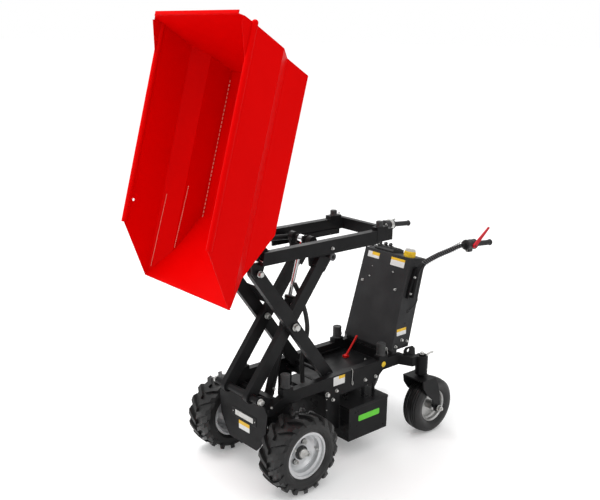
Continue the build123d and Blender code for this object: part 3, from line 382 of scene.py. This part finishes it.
class Piece:
    """One mesh made of turned, extruded and swept shapes, sized in millimetres."""

    def __init__(self):
        self.mesh = bmesh.new()
        self.paint = 0

    def face(self, corners):
        corners = list(dict.fromkeys(corners))
        if len(corners) > 2:
            self.mesh.faces.new(corners).material_index = self.paint

    def lathe(self, centre, axis, profile, steps=24, spin=0.0):
        """Turns (radius, height) points round an axis; radius 0 closes an end."""
        turn = Vector(axis).to_track_quat("Z", "Y").to_matrix()
        rings = []
        for radius, height in profile:
            ring = []
            for k in range(steps if radius else 1):
                a = spin + 2 * math.pi * k / steps
                spot = Vector((radius * math.cos(a), radius * math.sin(a), height)) / 1000
                ring.append(self.mesh.verts.new(centre + turn @ spot))
            rings.append(ring)
        for low, high in zip(rings, rings[1:]):
            for k in range(steps):
                j = k + 1
                self.face([low[k % len(low)], low[j % len(low)],
                           high[j % len(high)], high[k % len(high)]])

    def slab(self, corners, out, thick, sink=0.5):
        """Extrudes a flat outline along out, sunk a little into what carries it."""
        out = Vector(out).normalized() / 1000
        low = [self.mesh.verts.new(c - out * sink) for c in corners]
        high = [self.mesh.verts.new(c + out * thick) for c in corners]
        self.face(low[::-1])
        self.face(high)
        for k in range(len(low)):
            j = (k + 1) % len(low)
            self.face([low[k], low[j], high[j], high[k]])

    def sweep(self, path, radius, steps=8):
        """A round rod along points, closed at both ends."""
        rings = []
        side = None
        for k, spot in enumerate(path):
            ahead = path[min(k + 1, len(path) - 1)] - path[max(k - 1, 0)]
            ahead.normalize()
            if side is None:
                side = ahead.orthogonal().normalized()
            side = (side - ahead * side.dot(ahead)).normalized()
            other = ahead.cross(side)
            ring = []
            for j in range(steps):
                a = 2 * math.pi * j / steps
                round_it = side * math.cos(a) + other * math.sin(a)
                ring.append(self.mesh.verts.new(spot + round_it * radius / 1000))
            rings.append(ring)
        for low, high in zip(rings, rings[1:]):
            for j in range(steps):
                i = (j + 1) % steps
                self.face([low[j], low[i], high[i], high[j]])
        self.face(rings[0][::-1])
        self.face(rings[-1])

    def wire(self, points, rounds, radius, hand=1, steps=8):
        """A bent rod through (x, y, z) points in mm; a hand of -1 mirrors it."""
        self.sweep(rounded([at(x * hand, y, z) for x, y, z in points], rounds), radius, steps)

    def bolt(self, place, out, size):
        """Washer and chamfered hexagon head of a size across flats."""
        thick = size * 0.12
        self.lathe(place, out, [(0, -1), (size * 0.66, -1), (size * 0.66, thick * 0.6),
                                (size * 0.6, thick), (0, thick)], 20)
        tip = thick + size * 0.58
        self.lathe(place, out, [(0, thick - 0.5), (size * 0.577, thick - 0.5), (size * 0.577, tip - size * 0.1),
                                (size * 0.47, tip), (0, tip + size * 0.03)], 6, 0.3)

    def button(self, place, out, size):
        """Low domed head."""
        self.lathe(place, out, [(0, -1), (size, -1), (size, 0.15 * size), (size * 0.8, size * 0.45),
                                (size * 0.35, size * 0.6), (0, size * 0.62)], 14)

    def done(self, name, body, slot, *finishes, edges=0.0, angle=38):
        """Makes the object, dresses it and lets it ride on its body."""
        bmesh.ops.recalc_face_normals(self.mesh, faces=self.mesh.faces)
        data = bpy.data.meshes.new(name)
        self.mesh.to_mesh(data)
        self.mesh.free()
        for finish in finishes or (MATS[slot],):
            data.materials.append(finish)
        data.shade_smooth()
        data.set_sharp_from_angle(angle=math.radians(angle))
        made = bpy.data.objects.new(name, data)
        bpy.context.scene.collection.objects.link(made)
        if edges:
            softened = made.modifiers.new("edges", "BEVEL")
            softened.width = edges / 1000
            softened.segments = 2
            softened.limit_method = "ANGLE"
            softened.angle_limit = math.radians(angle)
        if body:
            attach(made, body)
        return made


def rounded(points, rounds=10, turns=6):
    """A polyline in metres with its corners eased by quadratic curves, rounds in mm."""
    path = [points[0]]
    for before, corner, after in zip(points, points[1:], points[2:]):
        back, on = before - corner, after - corner
        ease = min(rounds / 1000, back.length * 0.5, on.length * 0.5)
        start, end = corner + back.normalized() * ease, corner + on.normalized() * ease
        for k in range(turns + 1):
            t = k / turns
            path.append(start * (1 - t) ** 2 + corner * 2 * t * (1 - t) + end * t * t)
    path.append(points[-1])
    return path


def evenly(path, step):
    """Points a fixed step apart, in mm, along a polyline in metres."""
    spots, left = [path[0]], step / 1000
    for a, b in zip(path, path[1:]):
        run = (b - a).length
        while run > 0 and left <= run:
            a = a + (b - a) * left / run
            spots.append(a)
            run -= left
            left = step / 1000
        left -= run
    return spots


def both_sides(rows):
    """Each (x, y, z, out, size) row and its mirror image across the middle plane."""
    for x, y, z, out, size in rows:
        yield at(x, y, z), Vector(out), size
        yield at(-x, y, z), Vector((-out[0], out[1], out[2])), size


def spokes(axis, count):
    """Evenly turned directions square to a near-upright axis."""
    for k in range(count):
        a = 2 * math.pi * k / count
        across = Vector((math.cos(a), math.sin(a), 0))
        yield (across - axis * across.dot(axis)).normalized()


def point_between(a, b, along):
    """A point a distance along, in mm, from a towards b, both (x, y, z) in mm."""
    start, end = at(*a), at(*b)
    return start + (end - start).normalized() * along / 1000


# ---- fasteners ------------------------------------------------------------
def make_base_bolts():
    """Every bolt, nut and round head that stays with the base."""
    made = Piece()
    for place, out, size in both_sides([
            (LOW_PIN_END, PIVOT_Y, 462, OUT, 27), (RAIL_SIDE, 282, 386.5, OUT, 20),
            (RAIL_SIDE, 347.8, 391, OUT, 15), (RAIL_SIDE, 322.7, 347, OUT, 15),
            (RAIL_SIDE, 561, 395, OUT, 15), (RAIL_SIDE, 641.4, 393.5, OUT, 15),
            (184.6, 857.9, 549, OUT, 15), (185.4, 808.6, 520, OUT, 15), (185, 901.2, 533, OUT, 13),
            (197, 926, 905, OUT, 11), (197, 897, 815, OUT, 11), (RAIL_SIDE, -92, 424, OUT, 9),
            (31, 45, 355, OUT, 16), (313, 1232, 1038, (0, 0, -1), 9)]):
        made.bolt(place, out, size)
    for x, y, z, size in ((-139.4, 862.8, 825.5, 12), (114.3, 862.9, 825.9, 12),
                          (-93.9, 871.5, 858, 7), (71.8, 886.6, 914.9, 8)):
        made.bolt(at(x, y, z), LEAN, size)
    made.bolt(at(36, 727, 419), UP, 10)
    made.button(at(-89.5, 886.9, 915.7), LEAN, 3)
    for x in (-78, 100):
        made.button(at(x, FRONT_FACE - 1, 317), AHEAD, 3.5)
    for place, out, size in both_sides([
            (RAIL_SIDE, 279.3, 360, OUT, 3.5), (RAIL_SIDE, 281.5, 298, OUT, 3.5),
            (313.5, 938.2, 391, (0.97, 0.22, 0), 4)]):
        made.button(place, out, size)
    made.done("base_bolts", "base", "zinc_steel", edges=0.4)


def make_scissor_bolts():
    """Pin ends of the platform and the arms, and the arms' grease points."""
    made = Piece()
    for place, out, size in both_sides([(HIGH_PIN_END, PIVOT_Y, 1108, OUT, 25), (197, 292, 1170, OUT, 13)]):
        made.bolt(place, out, size)
    made.sweep([at(158, -152, 1181), at(197, -152, 1174)], 2.2)
    made.done("platform_bolts", "platform", "zinc_steel", edges=0.4)
    made = Piece()
    for place, out, size in both_sides([(CENTRE_OUTER, CENTRE_Y, CENTRE_Z, OUT, 31),
                                        (-CENTRE_INNER, CENTRE_Y, CENTRE_Z, OUT, 26)]):
        made.bolt(place, out, size)
    made.done("centre_bolts", "inner_scissor", "zinc_steel", edges=0.5)
    made = Piece()
    for place, out, size in both_sides([(134, 15.7, 838.7, (0, -0.8, -0.6), 4.5)]):
        made.button(place, out, size)
    made.done("arm_grease_points", "outer_scissor", "zinc_steel")


def make_caster_bolts(side, hand):
    """The stem's top bolt, and a nut with its axle end on each leg of the fork."""
    made = Piece()
    made.bolt(at(CASTER_X * hand, STEM_Y, STEM_TOP), UP, 19)
    for x, out in ((FORK_OUTER, 1), (FORK_INNER, -1)):
        place, outward = at(x * hand, CASTER_Y, CASTER_Z), (out * hand, 0, 0)
        made.bolt(place, outward, 27)
        made.lathe(place, outward, [(0, 0), (8, 0), (8, 25), (6, 27), (0, 27)], 16)
    made.done(f"caster_bolts_{side}", f"caster_{side}", "zinc_steel", edges=0.4)


def make_wheel_trim(side, hand):
    """Hub cap, four nuts on raised dark discs, the hub's seal and the tyre valve; the discs' dark finish is
    painted shade round the nuts.
    """
    bolt_circle, nut_angles, nut_face = 54, (60, 150, 240, 330), DISC_FACE + 7
    outward, body = (hand, 0, 0), f"front_wheel_{side}"
    made = Piece()
    made.lathe(at(HUB_TIP * hand, 0, WHEEL_Z), outward, [
        (0, -16), (25.5, -16), (25.5, 6), (22, 10), (8, 11), (7, 10), (0, 10)], 40)
    nut_shade_discs = Piece()
    for angle in nut_angles:
        y, z = bolt_circle * math.cos(math.radians(angle)), bolt_circle * math.sin(math.radians(angle))
        spot = at(nut_face * hand, y, WHEEL_Z + z)
        made.bolt(spot, outward, 20)
        made.lathe(spot, outward, [(0, 0), (6, 0), (6, 20), (5, 21.5), (0, 21.5)], 14)
        nut_shade_discs.lathe(spot, outward, [(0, -8), (14.5, -8), (14.5, 0.8), (13, 1.3), (0, 1.3)], 24)
    # dark finish on the discs under the nuts: painted shade round each nut
    nut_shade_discs.done(f"wheel_nut_shade_discs_{side}", body, "drive_alloy")
    made.done(f"wheel_nuts_{side}", body, "zinc_steel", edges=0.4)
    made = Piece()
    made.lathe(at(HUB_FACE * hand, 0, WHEEL_Z), outward, [
        (26, -1), (35, -1), (36.5, 2), (35.5, 9), (32, 11), (26.5, 11), (26, -1)], 48)
    made.done(f"hub_seal_{side}", body, "plastic_black")
    made = Piece()
    made.sweep([at(322 * hand, 88, WHEEL_Z), at(340 * hand, 84, WHEEL_Z)], 4.2, 10)
    made.sweep([at(336 * hand, 85, WHEEL_Z), at(347 * hand, 82.3, WHEEL_Z)], 5, 10)
    made.done(f"tyre_valve_{side}", body, "zinc_steel")


def make_fasteners():
    make_base_bolts()
    make_scissor_bolts()
    for side, hand in (("left", 1), ("right", -1)):
        make_caster_bolts(side, hand)
        make_wheel_trim(side, hand)


# ---- blank plates and stickers ---------------------------------------------
def sheet_corners(origin, across, up, box, radius=3, turns=4):
    """Rounded rectangle (left, right, low, high) in mm on a plane."""
    left, right, low, high = box
    corners = []
    for x, y, first in ((right - radius, high - radius, 0), (left + radius, high - radius, 90),
                        (left + radius, low + radius, 180), (right - radius, low + radius, 270)):
        for k in range(turns + 1):
            a = math.radians(first + 90 * k / turns)
            corners.append(origin + (Vector(across) * (x + radius * math.cos(a))
                                     + Vector(up) * (y + radius * math.sin(a))) / 1000)
    return corners


def sticker(name, origin, across, up, box, band):
    """Plain pale sticker with a plain yellow band, both boxes in mm."""
    out = Vector(across).cross(Vector(up))
    made = Piece()
    made.slab(sheet_corners(origin, across, up, box), out, 0.5)
    made.paint = 1
    made.slab(sheet_corners(origin, across, up, band, 1.2), out, 0.8, 0)
    made.done(name, "base", None, STICKER_WHITE, STICKER_YELLOW)


def make_plates():
    """Blank name plate, five blank stickers, a round reflector and the battery's plain bar."""
    made = Piece()
    made.slab(sheet_corners(at(0, FRONT_FACE, 0), OUT, UP, (-88, 112, 292, 342), 6), AHEAD, 1.6)
    made.done("name_plate", "base", "battery_black", edges=0.5)
    made = Piece()
    made.slab(sheet_corners(at(0, FRONT_FACE - 1.6, 0), OUT, UP, (-60, 86, 303, 331), 2), AHEAD, 0.7)
    made.done("name_plate_field", "base", "zinc_steel", edges=0.2)
    along, face_up, side_up = (0, 1, 0), (0, 0.258, 0.966), (-0.029, 0, 0.9996)
    for name, origin, across, up, box, band in (
            ("front_sticker", (0, FRONT_FACE, 0), OUT, UP, (-31, 57, 238, 284), (-31, 57, 264, 284)),
            ("rail_sticker", (RAIL_SIDE, 0, 0), along, UP, (325, 407, 420, 469), (362, 407, 452, 469)),
            ("console_side_sticker", (182.6, 0, 618), along, side_up, (817, 893, -39, 0), (817, 893, -16, 0)),
            ("console_sticker_far", (0, 899.2, 961), OUT, face_up, (-142, -53, 0, 34), (-110, -53, 16, 34)),
            ("console_sticker_near", (0, 895.9, 949), OUT, face_up, (38, 140, 0, 46), (38, 140, 32, 46))):
        sticker(name, at(*origin), across, up, box, band)
    made = Piece()
    made.lathe(at(RAIL_SIDE, 704, 447), OUT, [(0, -1), (15, -1), (16, 1.2), (14, 2.4), (6, 2.9), (0, 3)], 32)
    made.done("side_reflector", "base", "cap_yellow")
    made = Piece()
    made.slab(sheet_corners(at(BOX_SIDE, 0, 0), along, UP, (452, 612, 207, 240), 8), OUT, 0.6)
    made.done("battery_sticker", "base", None, STICKER_GREEN)


# ---- wheels, bumpers and grips ---------------------------------------------
def make_caster_tyre(side, hand):
    """Ribbed balloon tyre: six grooves round the tread, rounded shoulders and beads."""
    tread_r, crown_drop, tread_half = CASTER_Z, 9.5, 48
    groove_middles, groove_deep, groove_top, groove_floor = (38, 26, 12.5), 5, 3.4, 2
    wall = [(88, 36), (92, 42), (98, 47.5), (110, 54), (124, 57.5), (136, 56.5), (145, 52.5), (150, 48),
            (155, 42.5)]
    tread = []
    for middle in groove_middles:
        crown = tread_r - crown_drop * (middle / tread_half) ** 2
        tread += [(crown, middle + groove_top), (crown - groove_deep, middle + groove_floor),
                  (crown - groove_deep, middle - groove_floor), (crown, middle - groove_top)]
    profile = wall + tread + [(tread_r, 4)]
    profile += [(r, -x) for r, x in reversed(profile)]
    made = Piece()
    made.lathe(at(CASTER_X * hand, CASTER_Y, CASTER_Z), OUT, profile + [profile[0]], 96)
    tyre = made.done(f"caster_tread_{side}", f"caster_wheel_{side}", "tyre_rubber", angle=50)
    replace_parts(tyre, f"caster_tyre_{side}")
    rim_half = 35
    made = Piece()
    for x in (-1, 1):
        made.lathe(at((CASTER_X + x * rim_half) * hand, CASTER_Y, CASTER_Z), (x * hand, 0, 0), [
            (86, 0), (91, 4), (93, 8), (90.5, 9.5), (87, 7), (84, 2), (86, 0)], 72)
    made.done(f"caster_rim_lip_{side}", f"caster_wheel_{side}", "caster_zinc")


def ribbed_post(made, x, y, low, high, radius):
    """Rubber buffer with a foot, fine ribs about 7 mm apart and a dished top."""
    foot, plain_ends = 8, 16
    profile = [(0, low - 2), (radius * 1.08, low - 2), (radius * 1.08, low + 4), (radius, low + 6)]
    ribbed = high - low - plain_ends
    count = max(2, int(ribbed / 7))
    step = ribbed / count
    for k in range(count):
        z = low + foot + k * step
        profile += [(radius * 0.975, z), (radius * 0.975, z + step * 0.35),
                    (radius, z + step * 0.5), (radius, z + step * 0.85)]
    profile += [(radius, high - 3), (radius * 0.93, high), (radius * 0.78, high),
                (radius * 0.7, high - 2.2), (0, high - 2.8)]
    made.lathe(at(x, y, 0), UP, profile, 40)


def make_bumpers():
    """Ribbed buffers in place of the plain rubber posts."""
    made = Piece()
    for x in (-POST_X, POST_X):
        for y in POST_YS:
            ribbed_post(made, x, y, *POST_Z, POST_R)
    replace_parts(made.done("base_buffers", "base", "bumper_rubber"), "base_bumpers")
    made = Piece()
    for x in (-POST_X, POST_X):
        ribbed_post(made, x, TOP_POST_Y, *TOP_POST_Z, TOP_POST_R)
    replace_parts(made.done("top_buffers", "platform", "bumper_rubber"), "top_bumpers")


def make_bar_ends():
    """Ribbed grips with flared ends, bands round the clamps, and the brake's fittings."""
    rib_count, rib_from, rib_pitch = 14, 13, 8.6
    grip_profile = [(0, 0), (13, 0), (17, 2), (18.5, 5), (17.5, 8), (15, 11)]
    for k in range(rib_count):
        z = rib_from + rib_pitch * k
        grip_profile += [(14.1, z), (14.1, z + 2), (15.2, z + 3.4), (15.2, z + 6.6)]
    grip_profile += [(14.5, 136), (19, 138), (19.5, 142), (18, 145), (12, 147), (0, 147)]
    band_starts, clamp_middle, clamp_drop = (152, 190, 222), 0.196, 0.03
    made = Piece()
    bands = Piece()
    for hand in (1, -1):             # the brake's side comes last, and its ring uses rear and along
        rear = at(GRIP_LOW[0] * hand, *GRIP_LOW[1:])
        along = at(GRIP_TOP[0] * hand, *GRIP_TOP[1:]) - rear
        made.lathe(rear, along, grip_profile, 28)
        for start in band_starts:
            bands.lathe(rear, along, [
                (27, start), (29.4, start + 0.8), (29.4, start + 6.2), (27, start + 7)], 36)
        below_clamp = rear + along.normalized() * clamp_middle + Vector((0, 0, -clamp_drop))
        bands.slab(sheet_corners(below_clamp, OUT, (0, 1, 0), (-13, 13, -18, 18), 4), (0, 0, -1), 10, 6)
    bright = Piece()
    bright.lathe(rear, along, [(28, 163), (30.5, 164), (30.5, 186), (28, 187)], 40)
    bright.lathe(at(-313, 1250, 1092), (0, -0.5, 0.85), [(0, 0), (9, 0), (9, 9), (6, 12), (0, 12)], 20)
    bright.wire([(-338, 1252, 1074), (-346, 1225, 1080), (-320, 1200, 1077)], 8, 4)
    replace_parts(made.done("ribbed_grips", "base", "grip_rubber"), "grips")
    bands.done("clamp_bands", "base", "plastic_black", edges=0.5)
    bright.done("brake_fittings", "base", "zinc_steel", edges=0.4)


# ---- handlebar wrap and cables ----------------------------------------------
def make_bar_wrap():
    """Spiral wrap that ties the control cable to each bar, and the cable's way into the console."""
    wrap_from, wrap_to, pitch = 205, 448, 12
    wrap_tall, wrap_drop, wrap_wide, cable_drop = 0.0165, 0.0035, 0.0142, 0.0145
    way_in = [(176, 905, 706), (184, 922, 716), (194, 946, 740), (201, 956, 768), (203, 948, 800),
              (205, 962, 880), (207, 972, 930)]
    wrap = Piece()
    cable = Piece()
    for hand in (1, -1):
        bar = rounded([at(x * hand, y, z) for x, y, z in BAR], 60)
        spots = evenly(bar, 1.0)[wrap_from:wrap_to]
        turned, under = [], []
        side = Vector((0, 0, 1))
        for k, (spot, after) in enumerate(zip(spots, spots[1:])):
            ahead = (after - spot).normalized()
            side = (side - ahead * side.dot(ahead)).normalized()
            a = 2 * math.pi * k / pitch
            turned.append(spot + side * (math.cos(a) * wrap_tall - wrap_drop)
                          + ahead.cross(side) * math.sin(a) * wrap_wide)
            under.append(spot - side * cable_drop)
        wrap.sweep(turned, 1.9, 6)
        tail = [at(x * hand, y, z) for x, y, z in way_in]
        cable.sweep(rounded(tail + [under[0]], 26) + under[8::8] + [at(313 * hand, 1215, 1052)], 3.6, 8)
    wrap.done("bar_spiral_wrap", "base", None, SPIRAL_WRAP)
    cable.done("control_cables", "base", "plastic_black", angle=60)
    made = Piece()
    for hand in (1, -1):
        outward = (hand, 0, 0.03)
        made.lathe(at(179.5 * hand, 905, 706), outward, [(5, -1), (11, -1), (11, 3), (8, 5), (4, 5)], 24)
        made.lathe(at(181.6 * hand, 886, 640), outward, [(0, -1), (6, -1), (6, 2), (4, 3), (0, 3)], 20)
    made.done("cable_grommets", "base", "grip_rubber")


# ---- console top -------------------------------------------------------------
def make_filler_cap():
    """Ribs and a collar on the yellow cap, and its pale crown."""
    lean = Vector(TOP_LEAN)
    centre = at(*CAP)
    ribs = Piece()
    for across in spokes(lean, 26):
        ribs.sweep([centre + across * 0.0308 + lean * 0.004, centre + across * 0.0312 + lean * 0.025], 2.2, 6)
    ribs.lathe(centre, lean, [(31, 25), (32.2, 26), (32.2, 29), (30, 32.6), (27, 33.2), (26, 31)], 48)
    ribs.done("cap_ribs", "base", "cap_yellow")
    crown = Piece()
    crown.lathe(centre, lean, [(0, 31), (28.5, 31), (28.5, 40), (26, 43.5), (12, 44.5), (0, 44.5)], 40)
    for across in spokes(lean, 12):
        crown.sweep([centre + across * 0.010 + lean * 0.0442, centre + across * 0.0255 + lean * 0.0428,
                     centre + across * 0.0282 + lean * 0.032], 2.6, 8)
    crown.done("cap_crown", "base", None, PALE_PLASTIC)


def make_valve_levers():
    """Three short levers in rubber boots on a two-step plate, and one bent rod."""
    lean = Vector(TOP_LEAN)
    boot = [(0, -2), (15, -2), (15, 2), (12, 5), (12.5, 8), (8, 11), (8.5, 14), (5, 17), (0, 17)]
    knob = [(0, 20), (6, 20), (10, 24), (11.5, 29), (10, 34), (5.5, 37), (0, 38)]
    black = Piece()
    bright = Piece()
    for x, y, tilt in ((-92, 966, -0.6), (-58, 970, 0.3), (-22, 974, -0.2)):
        foot = at(x, y, 1017)
        stem = Vector((0.2 * tilt, -0.5, 1)).normalized()
        black.lathe(foot, stem, boot, 24)
        bright.lathe(foot, stem, [(0, 12), (3.4, 12), (3.4, 26), (0, 26)], 14)
        black.lathe(foot, stem, knob, 24)
    back = Vector((0, 0.986, -0.166))
    black.slab(sheet_corners(at(-50, 962, 1016), OUT, back, (-64, 60, -16, 22), 8), lean, 12)
    black.slab(sheet_corners(at(-50, 1000, 1014), OUT, back, (-62, 62, -8, 20), 5), lean, 4)
    black.done("valve_levers", "base", "plastic_black", edges=0.6)
    bright.lathe(at(-108, 946, 1016), lean, [(0, -1), (7, -1), (7, 7), (5, 9), (0, 9)], 20)
    bright.wire([(-108, 946, 1020), (-104, 940, 1036), (-84, 934, 1040)], 8, 3)
    bright.done("lever_stems", "base", "zinc_steel", edges=0.3)


# ---- clips, lock levers and fittings -------------------------------------------
def make_clips():
    """Spring clips on the rails and the top frame, and the casters' swivel locks."""
    rail_clip = [(187, 462, 474), (193, 462, 482), (201, 462, 476), (201.5, 460, 440), (201, 458, 405),
                 (201, 462, 390), (201, 468, 396), (200.5, 466, 412)]
    post_clip = [(178, 754, 474), (180, 753, 488), (184, 744, 520), (184, 738, 534), (184, 730, 530),
                 (184, 734, 516)]
    top_clip = [(180, 700, 1211), (180, 702, 1228), (180, 696, 1240), (180, 688, 1236), (180, 690, 1222)]
    made = Piece()
    for hand in (1, -1):
        made.wire(rail_clip, 6, 1.9, hand)
        made.wire(post_clip, 5, 1.9, hand)
    made.done("rail_clips", "base", "zinc_steel")
    made = Piece()
    for hand in (1, -1):
        made.wire(top_clip, 5, 1.9, hand)
    made.done("top_clips", "platform", "zinc_steel")
    made = Piece()
    for hand in (1, -1):
        made.lathe(at(303 * hand, 944, 469), UP, [(0, 0), (9, 0), (9, 12), (6, 15), (0, 15)], 20)
        made.wire([(303, 944, 477), (308, 952, 487), (322, 974, 494)], 8, 6, hand, 12)
    made.done("swivel_locks", "base", "zinc_steel", edges=0.5)


def make_cylinder_trim():
    """Gland nut, weld ring and two ports of the lift cylinder."""
    axis = at(*LIFT_HIGH) - at(*LIFT_LOW)
    black = Piece()
    black.lathe(point_between(LIFT_LOW, LIFT_HIGH, 560), axis, [
        (12, -16), (25, -16), (27.5, -15), (27.5, -2), (25.5, 0), (12.4, 0.6), (12.4, -4)], 36)
    black.lathe(point_between(LIFT_LOW, LIFT_HIGH, 40), axis, [(24, -4), (27, -2), (27, 2), (24, 4)], 36)
    black.done("lift_gland", "lift_barrel", "scissor_black", edges=0.5)
    steel = Piece()
    for along in (70, 520):
        foot = point_between(LIFT_LOW, LIFT_HIGH, along)
        steel.lathe(foot, OUT, [(0, 20), (8, 20), (8, 31), (0, 31)], 6)
        steel.lathe(foot, OUT, [(0, 30), (6, 30), (6, 38), (0, 38)], 16)
    steel.done("lift_ports", "lift_barrel", "zinc_steel", edges=0.4)


def make_hose_sleeve():
    """One thick sleeve carries the hoses from the base up to the scissor arms."""
    way = [(50, 240, 418), (50, 236, 480), (53, 228, 560), (56, 250, 640), (58, 262, 710), (58, 250, 790),
           (56, 222, 870), (54, 190, 940), (52, 172, 975)]
    made = Piece()
    made.sweep(evenly(rounded([at(*spot) for spot in way], 90, 8), 12), 12, 16)
    sleeve = made.done("scissor_hose_sleeve", None, "grip_rubber")
    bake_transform(sleeve)


# ---- welds and seams of the skip -------------------------------------------------
def make_skip_seams():
    """Rows of stitch welds inside the skip, and one thin pale line along a fold that is a painted highlight
    where the fold catches the light.
    """
    stitches, share = 34, 0.62
    made = Piece()
    for start, end in (((-265, 8, 1973), (-265, -168, 1300)),
                       ((-279.5, -236, 1470), (-279.5, -326, 1170)),
                       ((279.5, 8, 1973), (279.5, -168, 1300))):
        a, b = at(*start), at(*end)
        for k in range(stitches):
            low, high = k / stitches, (k + share) / stitches
            made.sweep([a + (b - a) * low, a + (b - a) * (low + high) / 2, a + (b - a) * high], 2.3, 6)
    # thin pale line on the fold: a painted highlight, not a weld
    made.sweep([at(-329, -330, 1433.5), at(-334.1, -428, 1084.1)], 1.2, 6)
    made.done("skip_stitch_welds_and_fold_highlight", "skip_body", None, WELD_PRIMER_AND_FOLD_HIGHLIGHT)


make_fasteners()
make_plates()
for tyre_side, tyre_hand in (("left", 1), ("right", -1)):
    make_caster_tyre(tyre_side, tyre_hand)
make_bumpers()
make_bar_ends()
make_bar_wrap()
make_filler_cap()
make_valve_levers()
make_clips()
make_cylinder_trim()
make_hose_sleeve()
make_skip_seams()
make_camera()
make_stage()
